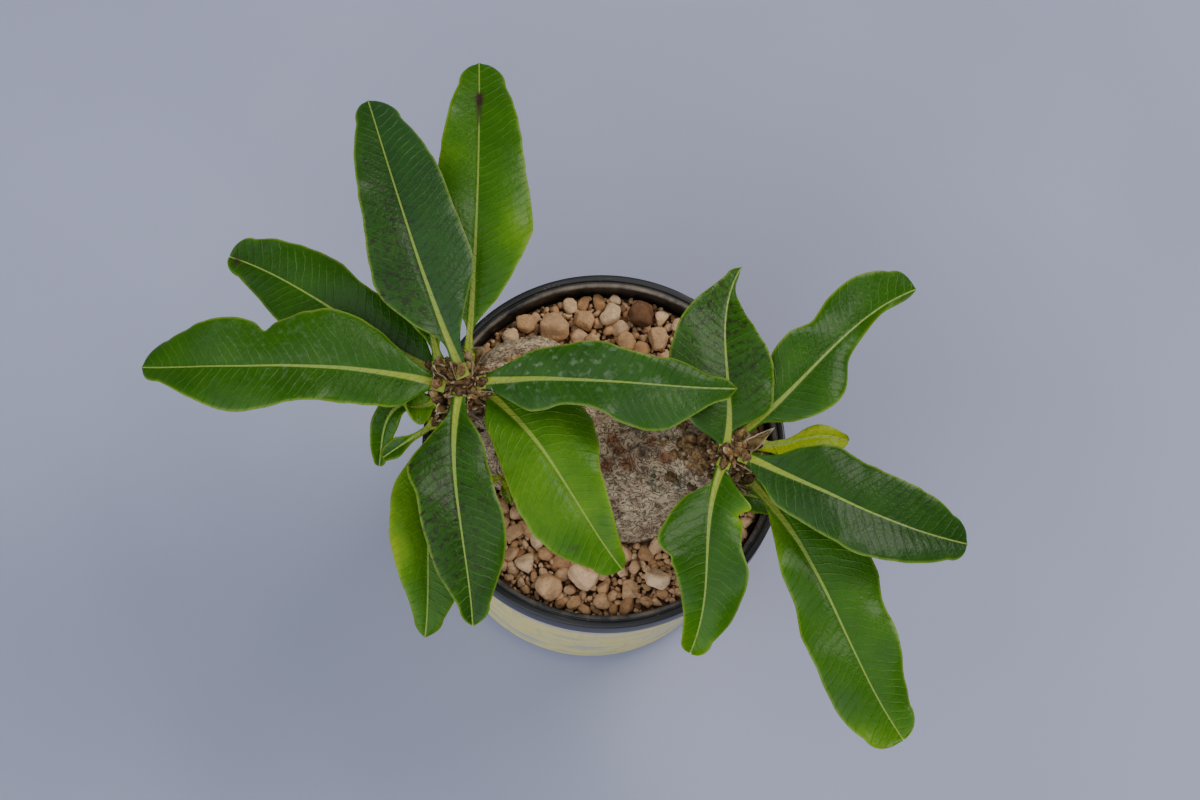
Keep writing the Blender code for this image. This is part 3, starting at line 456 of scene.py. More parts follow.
def printed_film():
    """Printed paper-and-film sleeve: pale yellow with blurred grey-green and blue-grey shapes."""
    mat, add, shader, _ = new_material("printed sleeve film", Roughness=0.45, IOR=1.5,
        Coat_Weight=0.15, Coat_Roughness=0.25)
    around, height = (add("Attribute", attribute_name=name).outputs["Fac"] for name in ("around", "height"))
    sheet = add("CombineXYZ", links={"X": around, "Y": height})
    # Slanting wavy strokes about 26 mm long and 6 mm high, blurred at their edges.
    spread = add("Mapping", {"Rotation": (0.0, 0.0, 0.45), "Scale": (1 / 26, 1 / 6, 1.0)},
        {"Vector": sheet})
    shapes = add("TexNoise", {"Scale": 1.0, "Detail": 3.0, "Distortion": 0.5}, {"Vector": spread})
    streaks = add("Mapping", {"Scale": (1 / 5, 1 / 14, 1.0)}, {"Vector": sheet})
    strokes = add("TexNoise", {"Scale": 1.0, "Detail": 4.0, "Distortion": 1.5}, {"Vector": streaks})
    ground = add("ValToRGB", links={0: strokes}, stops=((0.35, "#EDDC6C"), (0.5, "#EEE088"),
        (0.65, "#DAD27E")))
    soft = add("ValToRGB", links={0: shapes}, stops=((0.3, "#98A49C"), (0.5, "#B4B898"), (0.7, "#A2AEB6")))
    mask = add("MapRange", {"From Min": 0.44, "From Max": 0.66, "To Max": 0.8}, {"Value": shapes},
        interpolation_type="SMOOTHSTEP")
    band = add("MapRange", {"From Min": 52.0, "From Max": 42.0}, {"Value": height},
        interpolation_type="SMOOTHSTEP")
    kept = add("Math", links={0: mask, 1: band}, operation="MULTIPLY")
    printed = add("Mix", links={MIX_SHARE: kept, MIX_FROM: ground, MIX_TO: soft})
    # Plain mauve-grey heading, down to 55 mm above the base, with a thin orange line under it.
    margin = add("MapRange", {"From Min": 54.8, "From Max": 55.3}, {"Value": height})
    above = add("MapRange", {"From Min": 54.0, "From Max": 54.5, "To Max": 0.7}, {"Value": height})
    lined = add("Mix", {MIX_TO: linear("#C89A70")}, {MIX_SHARE: above, MIX_FROM: printed})
    edged = add("Mix", {MIX_TO: linear("#C6BDC0")}, {MIX_SHARE: margin, MIX_FROM: lined})
    bump = add("Bump", {"Strength": 0.1, "Distance": 0.3 * MM}, {"Height": shapes})
    link(shader, {"Base Color": edged, "Normal": bump})
    return mat


def painted_board():
    """Matt painted board for the floor: pale grey-blue with a faint unevenness."""
    mat, add, shader, place = new_material("matt painted board", Roughness=0.8, Specular_IOR_Level=0.2)
    wash = add("TexNoise", {"Scale": per_mm(120), "Detail": 2.0}, {"Vector": place})
    tint = add("ValToRGB", links={0: wash}, stops=((0.3, FLOOR_LOW), (0.7, FLOOR_HIGH)))
    link(shader, {"Base Color": tint})
    return mat


# ---------------------------------------------------------------- making pieces

def add_object(name, data):
    """A new object in the scene."""
    obj = bpy.data.objects.new(name, data)
    bpy.context.scene.collection.objects.link(obj)
    return obj


def taken_mesh(obj):
    """Points and faces of an object after its modifiers; the object is removed."""
    depsgraph = bpy.context.evaluated_depsgraph_get()
    mesh = bpy.data.meshes.new_from_object(obj.evaluated_get(depsgraph))
    bpy.data.objects.remove(obj, do_unlink=True)
    points = [vertex.co.copy() for vertex in mesh.vertices]
    normals = [vertex.normal.copy() for vertex in mesh.vertices]
    faces = [tuple(polygon.vertices) for polygon in mesh.polygons]
    bpy.data.meshes.remove(mesh)
    return points, normals, faces


def offset_faces(start, faces):
    """The faces with every index raised by start."""
    return [tuple(start + i for i in face) for face in faces]


def tube_faces(rows, count, start=0):
    """Faces of a closed tube: rows + 1 loops of count points each, and two end caps."""
    faces = []
    for row in range(rows):
        low, high = start + row * count, start + (row + 1) * count
        for i in range(count):
            j = (i + 1) % count
            faces.append((low + i, high + i, high + j, low + j))
    last = start + rows * count
    return faces + [tuple(range(start, start + count)), tuple(reversed(range(last, last + count)))]


def piece(name, points, faces, mat, slot, replaces=(), sharp_angle=60, **attributes):
    """A mesh of points in mm that rides on the root, with one float attribute a point for each name."""
    mesh = bpy.data.meshes.new(name)
    mesh.from_pydata([tuple(value * MM for value in point) for point in points], [], faces)
    mesh.validate()
    for label, values in attributes.items():
        mesh.attributes.new(label, "FLOAT", "POINT").data.foreach_set("value", values)
    mesh.materials.append(mat)
    mesh.shade_smooth()
    mesh.set_sharp_from_angle(angle=math.radians(sharp_angle))
    obj = add_object(name, mesh)
    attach(obj, "root")
    if replaces:
        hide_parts(*replaces)
    return obj


def smoothstep(low, high, value):
    """Eases from 0 at low to 1 at high."""
    share = min(1.0, max(0.0, (value - low) / (high - low)))
    return share * share * (3 - 2 * share)


def crown_middle(crown):
    """Middle of a crown, in mm."""
    x, y, height = CROWNS[crown]
    return Vector((x, y, GRIT_TOP + height))


def cubic(points, t):
    """Point and direction on a cubic curve."""
    a, b, c, d = points
    s = 1 - t
    place = a * s**3 + b * (3 * s * s * t) + c * (3 * s * t * t) + d * t**3
    heading = (b - a) * (3 * s * s) + (c - b) * (6 * s * t) + (d - c) * (3 * t * t)
    return place, heading.normalized()


def half_width(widths, t, point):
    """Smooth curve through the half widths at STATIONS, closing to a narrow base and tip.

    The higher point is, the more the tip narrows; 0.5 gives a round one.
    """
    stops = (0.0,) + STATIONS + (1.0,)
    values = (PETIOLE_WIDTH / 2,) + tuple(widths) + (TIP_HALF_WIDTH,)
    t = max(t, 0.0)
    for i in range(len(stops) - 1):
        if t <= stops[i + 1]:
            break
    share = (t - stops[i]) / (stops[i + 1] - stops[i])
    if i == len(STATIONS):     # the end past the last station
        return max(values[i] * max(0.0, 1 - share * share) ** point, TIP_HALF_WIDTH)
    before = values[max(i - 1, 0)]
    after = values[min(i + 2, len(values) - 1)]
    low, high = values[i], values[i + 1]
    rising = (2 * low - high - before) * (1 - share)
    falling = (2 * high - low - after) * share
    bend = 0.5 * share * (1 - share) * (rising + falling)
    return max(low + (high - low) * share + bend, TIP_HALF_WIDTH)


# ---------------------------------------------------------------- leaves

ROWS, SHORT_ROWS = 150, 60     # along a blade, and along one less than SHORT_LEAF wide on each side
SHORT_LEAF = 6
COLUMNS = 15                   # on each side of the midrib
EXTRA_FOLD = 8                 # degrees that the visible blades are folded up more than their solids
ROOTED = 0.035                 # how far the petiole goes on into the crown, as a share of its length
RIB_TIP, RIB_GAIN = 0.17, 0.8  # half width of the midrib at the tip, and what it gains at the base
RIB_RELIEF = 0.16              # height of the midrib and depth of the channels beside it
VEIN_SPACING = 2.3
VEIN_SLANT, VEIN_CURVE = 0.45, 0.022
QUILT, QUILT_SPREAD = 0.022, 0.03          # height of the swelling between side veins
FRILL, UNDULATION = 0.75, 0.5              # height of the margin's frill and of slow waves
SAG = 0.02                     # fall of the blade from the midrib, times the distance squared
RAGGED = 0.022                 # unevenness of the margin, as a share of the half width
LEAF_LAYERS = ("tone", "rib", "vein", "margin", "petiole", "spots", "scar", "marks", "painted_sheen", "under")


def columns():
    """Places across a blade from -1 to 1, close together at the midrib and at the margins."""
    side = []
    for i in range(1, COLUMNS + 1):
        share = i / COLUMNS
        side.append(0.55 * share**1.7 + 0.45 * (1 - (1 - share) ** 1.8))
    return [-s for s in reversed(side)] + [0.0] + side


def patch(ageing, kind, t, s, along, widths):
    """Strength at a point of the leaf's patches of one kind."""
    total = 0.0
    for t0, s0, size, strength in ageing.get(kind, ()):
        offset = math.hypot(along * (t - t0), s * widths[0] - s0 * widths[1])
        total += strength * math.exp(-((offset / size) ** 2))
    return min(total, 1.0)


def build_leaf(crown, leaf, mat):
    """One leaf's petiole and blade, closed above and below, with its shading attributes."""
    middle, ageing = crown_middle(crown), leaf.ageing
    rows = SHORT_ROWS if max(leaf.left + leaf.right) < SHORT_LEAF else ROWS
    curve = [middle + Vector(point) for point in leaf.midrib]
    length = sum((cubic(curve, (i + 1) / 40)[0] - cubic(curve, i / 40)[0]).length for i in range(40))
    seed = Vector((curve[3].x, curve[3].y, 0)) * 1.7
    across = columns()
    roll_base, roll_tip = leaf.roll
    wave_height, waves = leaf.ripple
    point = ageing.get("point", 0.5)
    points = []
    layers = {label: [] for label in LEAF_LAYERS}
    loop = [(s, 1) for s in across] + [(s, -1) for s in reversed(across[1:-1])]
    for row in range(rows + 1):
        t = -ROOTED + (1 + ROOTED) * row / rows
        along = t * length
        place, heading = cubic(curve, t)
        side = heading.cross(Vector((0, 0, 1))).normalized()
        side.rotate(Matrix.Rotation(math.radians(roll_base + (roll_tip - roll_base) * t), 3, heading))
        up = side.cross(heading)
        rib = RIB_TIP + RIB_GAIN * max(0.0, 1 - t) ** 3
        fleshy = 1 - smoothstep(0.0, 0.14, t)
        flat = 1 - fleshy
        fade = min(1.0, max(0.0, 3 * t))
        for s, face in loop:
            widths = leaf.left if s < 0 else leaf.right
            half = half_width(widths, t, point) * (1 - (0.5 * point - 0.25) * smoothstep(0.72, 0.92, t))
            edge = half * (1 + RAGGED * noise.noise(Vector((along / 3.5, 9 * (s > 0), 0)) + seed))
            for t0, side_sign, depth, width in ageing.get("nicks", ()):
                if side_sign * s > 0:
                    edge -= depth * math.exp(-(((t - t0) * length / width) ** 2))
            reach = abs(s) * edge
            out = math.copysign(reach, s)
            lift = reach * math.sin(math.radians(leaf.fold + EXTRA_FOLD))
            lift += fade * wave_height * s * s * math.sin(math.tau * waves * t + (0.8 if s < 0 else 2.3))
            lift -= SAG * reach * reach
            # Fine shape: soft quilting between side veins, a frilled margin and slow undulation.
            slant = along - VEIN_SLANT * reach - VEIN_CURVE * reach * reach
            phase = slant / VEIN_SPACING + 0.25 * math.tanh(out / 0.4)
            inner = smoothstep(rib, rib + 1.5, reach) * smoothstep(0.0, 2.0, edge - reach)
            quilt = QUILT + QUILT_SPREAD * max(0.0, noise.noise(Vector((along / 11, s * 2, 8)) + seed))
            lift += quilt * flat * inner * math.cos(math.tau * (phase - 0.5))
            frill = noise.noise(Vector((along / 4.2, 5 * (s > 0), 3)) + seed)
            lift += FRILL * flat * frill * abs(s) ** 5
            lift += UNDULATION * flat * noise.noise(Vector((along / 13, out / 9, 0)) + seed)
            blade_half = BLADE_THICKNESS / 2 * math.sqrt(max(0.0, 1 - abs(s) ** 14))
            stalk_half = PETIOLE_THICKNESS / 2 * math.sqrt(max(0.0, 1 - s * s))
            thick = blade_half + (stalk_half - blade_half) * fleshy
            if face > 0:
                ridge = math.exp(-((reach / (rib * 1.05)) ** 4))
                channel = math.exp(-(((reach - rib * 1.5) / (0.6 * rib)) ** 2))
                height = lift + thick + flat * RIB_RELIEF * (ridge - channel) * (1 - 0.6 * t)
            else:
                keel = 0.85 * max(0.0, 1 - t) ** 0.8 + 0.15
                height = lift - thick - flat * keel * math.exp(-((reach / (rib * 1.25)) ** 2))
            points.append(place + side * out + up * height)
            patches = {kind: patch(ageing, kind, t, s, length, (edge, half))
                       for kind in ("yellow", "spots", "scars", "marks")}
            sample = {
                "tone": ageing["tone"] + patches["yellow"] + 0.14 * smoothstep(2.5, 0.0, edge - reach),
                "rib": reach / rib if flat > 0.02 else 0.0,
                "vein": phase,
                "margin": edge - reach + 3 * fleshy,
                "petiole": 1 - smoothstep(0.06, 0.3, t),
                "spots": patches["spots"],
                "scar": patches["scars"],
                "marks": patches["marks"],
                # Painted bluish sheen, a reflection of the sky painted into the colour, stronger on the
                # right half of the blade.
                "painted_sheen": ageing.get("painted_sheen", 0.0) * (0.3 + 0.7 * (s > 0)),
                "under": (1 - face) / 2 if abs(s) < 1 else 0.5,
            }
            for label, value in sample.items():
                layers[label].append(value)
    name = f"leaf_{crown}_{leaf.name}"
    return piece(name + "_blade", points, tube_faces(rows, len(loop)), mat, "green_leaf", (name,), **layers)


# ---------------------------------------------------------------- the swollen stem

def bark_shape(place):
    """Displacement in mm of the bark at a point, and how deep it is in a crack."""
    stretched = Vector((place.x / 2.6, place.y / 2.6, place.z / 1.5))
    warp = noise.noise_vector(place / 4.5) * 0.9
    wander = noise.noise(stretched + warp)
    crack = max(0.0, 1 - abs(wander) / 0.07)
    lumps = noise.noise(place / 8.0) * 0.9 + noise.noise(place / 3.5 + Vector((7, 1, 4))) * 0.3
    ridges = 0.35 * min(1.0, abs(wander) * 2.5)
    return lumps + ridges - 0.35 * crack, crack


def build_bark(mat):
    """The stem, from the frame's solid: smoothed, then wrinkled, cracked and scarred."""
    rough = add_object("rough_stem", frame["nodes"]["caudex"].data.copy())
    bm = bmesh.new()
    bm.from_mesh(rough.data)
    bmesh.ops.remove_doubles(bm, verts=bm.verts, dist=0.01 * MM)
    bm.to_mesh(rough.data)
    bm.free()
    finer = rough.modifiers.new("finer", "SUBSURF")
    finer.levels = 3
    finer.render_levels = 3
    points, normals, faces = taken_mesh(rough)
    shaped, layers = [], {"crack": [], "scar": [], "moss": [], "arm": []}
    for place, normal in zip(points, normals):
        place = place / MM
        height, crack = bark_shape(place)
        scar = 0.0
        for x, y, radius in LEAF_SCARS:
            away = math.hypot(place.x - x, place.y - y) / radius
            if away < 2 and normal.z > 0.1:
                dish = math.exp(-(away**4))
                scar = max(scar, dish)
                height -= 0.3 * dish - 0.25 * math.exp(-(((away - 1.15) / 0.25) ** 2))
        moss = 0.0
        for x, y, radius in MOSS_PATCHES:
            away = math.hypot(place.x - x, place.y - y) / radius
            moss = max(moss, math.exp(-(away**2)) * (normal.z > 0))
        moss = max(moss, 0.7 * smoothstep(GRIT_TOP + 3, GRIT_TOP, place.z) * (noise.noise(place / 5) > 0))
        x, y, radius = EYE
        away = math.hypot(place.x - x, place.y - y) / radius
        if normal.z > 0.1 and away < 2.5:
            height -= 1.3 * math.exp(-((away / 0.6) ** 4)) - 0.35 * math.exp(-(((away - 1.1) / 0.35) ** 2))
            crack = max(crack, math.exp(-((away / 0.6) ** 4)))
        # Faint rings round the arms, and a browner skin near the crowns.
        from_left, from_right = ((place - crown_middle(crown)).length for crown in ("left", "right"))
        nearest = min(from_left, from_right)
        ring = math.sin(from_left * math.tau / 2.1) + math.sin(from_right * math.tau / 1.9)
        height += 0.1 * ring * smoothstep(26, 14, nearest)
        shaped.append(place + normal * height)
        arm = 0.6 * smoothstep(14, 7, nearest)
        for label, value in zip(layers, (min(1.0, crack * 0.85), scar, min(moss, 1.0), arm)):
            layers[label].append(value)
    return piece("caudex_bark", shaped, faces, mat, "bark", ("caudex",), **layers)


def ball(subdivisions):
    """Directions and faces of an icosphere."""
    bm = bmesh.new()
    bmesh.ops.create_icosphere(bm, subdivisions=subdivisions, radius=1.0)
    directions = [vertex.co.copy() for vertex in bm.verts]
    faces = [tuple(vertex.index for vertex in face.verts) for face in bm.faces]
    bm.free()
    return directions, faces


def leaf_bases(surface, crown, mat, rng):
    """Dry leaf bases: a tight spiral over the crown's top, and rows of knobs down its arm."""
    directions, faces_of_one = ball(3)
    middle = crown_middle(crown)
    foot = ARM_FEET[crown]
    axis = (middle - foot).normalized()
    points, faces, tone, tip = [], [], [], []

    def add_scale(centre, outward, size, pointed, thin=(0.45, 0.75), shades=(0.1, 0.6)):
        """One scale; pointed is its length over its width, and thin the range of its thickness."""
        turn = outward.normalized().to_track_quat("Z", "Y").to_matrix()
        spin = Matrix.Rotation(rng.uniform(0, math.tau), 3, "Z")
        wide = Vector((rng.uniform(0.85, 1.15), rng.uniform(*thin), pointed)) * size
        shade = rng.uniform(*shades)
        pale = 0.9 if rng.random() < 0.3 else 0.15
        seed = Vector((rng.uniform(0, 50), 0, 0))
        faces.extend(offset_faces(len(points), faces_of_one))
        for direction in directions:
            rough = 1 + 0.2 * noise.noise(direction * 1.8 + seed) + 0.14 * noise.noise(direction * 5 + seed)
            taper = 1 - 0.45 * max(0.0, direction.z)
            local = Vector((direction.x * wide.x * taper, direction.y * wide.y * taper,
                            direction.z * wide.z))
            points.append(centre + turn @ (spin @ (local * rough)))
            tone.append(shade)
            tip.append(pale * smoothstep(0.75, 1.0, direction.z))

    def below(x, y):
        """Where a drop from above the crown meets the bark, and the bark's normal there."""
        hit, normal, _, _ = surface.ray_cast(Vector((x, y, middle.z + 20)) * MM, Vector((0, 0, -1)))
        return (hit / MM if hit else None), normal

    for i in range(TOP_SCALES):
        reach = TOP_REACH * math.sqrt((i + 0.5) / TOP_SCALES)
        out = Vector((math.cos(i * GOLDEN_ANGLE), math.sin(i * GOLDEN_ANGLE), 0))
        hit, normal = below(middle.x + reach * out.x, middle.y + reach * out.y)
        if hit is None or hit.z < middle.z - 12:
            continue
        lean = (normal + Vector((0, 0, 0.8))).normalized() + out * rng.uniform(0.0, 0.9)
        height = 3.4 * (1 - (reach / 8.4) ** 2) * rng.uniform(0.5, 1.0)
        add_scale(hit + Vector((0, 0, height)), lean, rng.uniform(0.9, 1.6), 1.5)
    for leaf in LEAVES[crown]:
        # A cap over the root of each stalk, and a scale on either side of it.
        start, after = (Vector(point) for point in leaf.midrib[:2])
        outward = (after - start).normalized()
        start += middle
        add_scale(start - outward * 0.6 + Vector((0, 0, 0.9)), outward + Vector((0, 0, 1.2)), 1.6, 1.15,
                  (0.6, 0.85))
        sideways = outward.cross(Vector((0, 0, 1))).normalized()
        for sign in (-1, 1):
            beside = start - outward * 0.4 + sideways * sign * 2.3 - Vector((0, 0, 0.5))
            add_scale(beside, outward + Vector((0, 0, 0.8)), 1.2, 1.25)
    for i in range(ARM_ROWS):
        inside = middle.lerp(foot, 0.1 + 0.9 * (i + 0.5) / ARM_ROWS)
        out = axis.orthogonal().normalized()
        out.rotate(Matrix.Rotation(i * GOLDEN_ANGLE, 3, axis))
        hit, normal, _, _ = surface.ray_cast((inside + out * 40) * MM, -out)
        if hit and (hit / MM - inside).length <= 14:
            add_scale(hit / MM - normal * 0.4, normal + axis * 0.3, rng.uniform(1.4, 1.8), 0.85, (0.8, 1.0))
    for x, y, radius in ARM_KNOBS[crown]:
        hit, normal = below(x, y)
        add_scale(hit + normal * 0.1, normal + axis * 0.5, radius * 1.3, 1.0, (0.85, 1.0), (0.3, 0.45))
    return piece(f"crown_{crown}_leaf_bases", points, faces, mat, "bark", tone=tone, tip=tip)


def bract_shape(base, heading, tilt, length, width, pointed):
    """Points, faces and edge strengths of a thin cupped scale with a torn, bleached edge."""
    steps = 18
    seed = Vector((heading, tilt, 0)) * 0.37
    turn = Matrix.Rotation(math.radians(heading), 3, "Z") @ Matrix.Rotation(-math.radians(tilt), 3, "Y")
    points, faces, edges = [], [], []
    for layer in (1, -1):
        for i in range(steps + 1):
            along = i / steps
            narrow = 1 - (0.95 * along**1.3 if pointed else 0.85 * along**2.4)
            for j in range(steps + 1):
                across = 2 * j / steps - 1
                torn = 0.1 * noise.noise(Vector((across * 3, along * 2, 0)) + seed)
                x = along * length * (1 + torn * along)
                ragged = 1 + 0.12 * noise.noise(Vector((along * 5, 3 * (across > 0), 1)) + seed)
                y = across * width / 2 * narrow * ragged
                z = (0.9 if pointed else 1.3) * across**2 + 1.2 * along**2
                z += 0.3 * noise.noise(Vector((across * 1.5, along * 2, 5)) + seed)
                outer = max(abs(across), along)
                thin = 0.28 * math.sqrt(max(0.0, 1 - outer**6)) + 0.03
                points.append(base + turn @ Vector((x, y, z + layer * thin / 2)))
                edges.append(smoothstep(0.72, 0.98, outer))
    row = steps + 1
    back = row * row
    for i in range(steps):
        for j in range(steps):
            a = i * row + j
            faces.append((a, a + row, a + row + 1, a + 1))
            faces.append((back + a, back + a + 1, back + a + row + 1, back + a + row))
    border = [(i, i + 1) for i in range(steps)]
    border += [(steps + row * i, steps + row * (i + 1)) for i in range(steps)]
    border += [(back - 1 - i, back - 2 - i) for i in range(steps)]
    border += [(row * (steps - i), row * (steps - i - 1)) for i in range(steps)]
    for a, b in border:
        faces.append((a, b, back + b, back + a))
    return points, faces, edges


def build_bract(name, mat):
    """One of the frame's dry bracts."""
    crown, offset, heading, tilt, length, width = BRACTS[name]
    base = crown_middle(crown) + Vector(offset)
    points, faces, edges = bract_shape(base, heading, tilt, length, width, name.endswith("pointed"))
    return piece(name + "_scale", points, faces, mat, "papery_bract", (name,), edge=edges)


def build_sheaths(crown, mat, rng):
    """Short papery sheaths tucked in beside and below the foot of each larger leaf stalk."""
    middle = crown_middle(crown)
    points, faces, edges = [], [], []
    for leaf in LEAVES[crown]:
        if max(leaf.left) < SHORT_LEAF:
            continue
        foot, after = (Vector(point) for point in leaf.midrib[:2])
        outward = (after - foot).normalized()
        heading = math.degrees(math.atan2(outward.y, outward.x))
        for turn in (-38, 34):
            base = middle + foot - outward * 1.8 + Vector((0, 0, -1.4 + rng.uniform(-0.6, 0.6)))
            size = rng.uniform(4.2, 6.0)
            shape, scale_faces, scale_edges = bract_shape(
                base, heading + turn + rng.uniform(-8, 8), rng.uniform(15, 42), size, size * 0.8,
                rng.random() < 0.5)
            faces.extend(offset_faces(len(points), scale_faces))
            points.extend(shape)
            edges.extend(0.55 * value for value in scale_edges)
    return piece(f"crown_{crown}_sheaths", points, faces, mat, "papery_bract", edge=edges)


# ---------------------------------------------------------------- stones

def pebble(rng, directions, half):
    """Points of an angular pebble that fills a box of these half sizes, about its middle."""
    planes = []
    for _ in range(9):
        tilt = Vector((rng.gauss(0, 1), rng.gauss(0, 1), rng.gauss(0, 0.8))).normalized()
        planes.append((tilt, rng.uniform(0.5, 0.9)))
    seed = Vector((rng.uniform(0, 90), rng.uniform(0, 90), 0))
    shape = []
    for direction in directions:
        total = 1.0
        for tilt, distance in planes:
            facing = direction.dot(tilt)
            if facing > 0:
                total += (facing / distance) ** 16
        reach = total ** (-1 / 16)
        reach *= 1 + 0.09 * noise.noise(direction * 2.2 + seed) + 0.03 * noise.noise(direction * 7 + seed)
        shape.append(direction * reach)
    low = Vector(min(point[i] for point in shape) for i in range(3))
    high = Vector(max(point[i] for point in shape) for i in range(3))
    centre = (low + high) / 2
    return [Vector((point[i] - centre[i]) * 2 * half[i] / (high[i] - low[i]) for i in range(3))
            for point in shape]


def build_stones(mat, rng):
    """The larger stones, one for each of the frame's."""
    directions, faces = ball(4)
    tones = {"tan_stone": 0.5, "pale_stone": 0.8, "orange_stone": 0.32}
    slots = {row["node"]: row["material_slot"] for row in frame["record"]["subparts"]}
    discs = []
    for node in sorted(name for name in frame["nodes"] if name.startswith("stone_")):
        low, high = (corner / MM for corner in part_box(node))
        half = (high - low) / 2
        centre = (low + high) / 2
        shape = pebble(rng, directions, half)
        slot = slots[node]
        tone = 0.03 if node == "stone_08" else tones[slot] + rng.uniform(-0.08, 0.08)
        piece(node + "_pebble", [point + centre for point in shape], faces, mat, slot, (node,),
              tone=[tone] * len(shape))
        discs.append((centre.x, centre.y, (half.x + half.y) / 2))
    return discs


def scatter(rng, tries, sizes, squeeze, surface, discs):
    """Places for small stones on the grit, by throwing darts that keep off each other and the stem."""
    bed_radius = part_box("grit_bed")[1].x / MM
    placed = []
    for _ in range(tries):
        size = rng.uniform(*sizes)
        angle = rng.uniform(0, math.tau)
        reach = (bed_radius - size / 2) * math.sqrt(rng.random())
        x, y = reach * math.cos(angle), reach * math.sin(angle)
        if any(math.hypot(x - a, y - b) < squeeze * (size / 2 + r) for a, b, r in discs):
            continue
        place = Vector((x, y, GRIT_TOP + size * 0.2))
        near, normal, _, _ = surface.find_nearest(place * MM)
        offset = place - near / MM
        if offset.dot(normal) < 0 or offset.length < size * 0.35:
            continue
        discs.append((x, y, size / 2))
        placed.append((place, size))
    return placed


def build_loose(name, mat, slot, placed, subdivisions, rng, tone_range, sink):
    """Many small stones joined in one piece."""
    directions, faces_of_one = ball(subdivisions)
    points, faces, tone = [], [], []
    for place, size in placed:
        half = Vector((size / 2 * rng.uniform(0.95, 1.3), size / 2 * rng.uniform(0.75, 1.0),
                       size / 2 * rng.uniform(0.65, 0.9)))
        turn = Matrix.Rotation(rng.uniform(0, math.tau), 3, "Z")
        turn @= Matrix.Rotation(rng.uniform(-0.4, 0.4), 3, "X")
        centre = Vector((place.x, place.y, GRIT_TOP - sink + half.z + rng.uniform(0, 0.35) * size))
        shade = rng.uniform(*tone_range)
        faces.extend(offset_faces(len(points), faces_of_one))
        points.extend(centre + turn @ point for point in pebble(rng, directions, half))
        tone.extend([shade] * len(directions))
    return piece(name, points, faces, mat, slot, tone=tone)


# ---------------------------------------------------------------- pot and sleeve

TURN_STEPS = 192
LIP_HEIGHT = 7.0
LIP_OVERHANG = 2.0
POT_WALL = 1.3
POT_FLOOR = 2.0
BASE_RADIUS = 38.0
WALL_TOP = POT_TOP - LIP_HEIGHT
WALL_TOP_RADIUS = RIM_RADIUS - LIP_OVERHANG
DRAIN_HOLES = 8
DRAIN_HOLE_RADIUS = 1.8
DRAIN_CIRCLE_RADIUS = 24.0


def wall_radius(z):
    """Outer radius of the pot's tapered wall at height z."""
    return BASE_RADIUS + (WALL_TOP_RADIUS - BASE_RADIUS) * z / WALL_TOP


def rounded(profile, radius, steps=4):
    """The closed profile with each corner replaced by a small arc."""
    smooth = []
    for i, corner in enumerate(profile):
        here = Vector(corner)
        before = Vector(profile[i - 1]) - here
        after = Vector(profile[(i + 1) % len(profile)]) - here
        cut = min(radius, before.length / 2.2, after.length / 2.2)
        if corner[0] == 0 or cut < 0.02:
            smooth.append(corner)
            continue
        start = here + before.normalized() * cut
        end = here + after.normalized() * cut
        for k in range(steps + 1):
            t = k / steps
            smooth.append(tuple(start * (1 - t) ** 2 + here * (2 * t * (1 - t)) + end * t * t))
    return smooth


def turned(profile, first=0.0, sweep=math.tau):
    """Points and faces of a closed (radius, z) profile turned round +Z, and each point's angle."""
    closed = sweep >= math.tau - 1e-6
    rings = TURN_STEPS if closed else TURN_STEPS + 1
    points, angles, faces = [], [], []
    for ring in range(rings):
        angle = first + sweep * ring / TURN_STEPS
        for radius, z in profile:
            points.append((radius * math.cos(angle), radius * math.sin(angle), z))
            angles.append(angle)
    count = len(profile)
    for ring in range(TURN_STEPS):
        low, high = ring * count, (ring + 1) % rings * count
        for i in range(count):
            j = (i + 1) % count
            faces.append((low + i, low + j, high + j, high + i))
    if not closed:
        faces.append(tuple(reversed(range(count))))
        faces.append(tuple(range((rings - 1) * count, rings * count)))
    return points, faces, angles


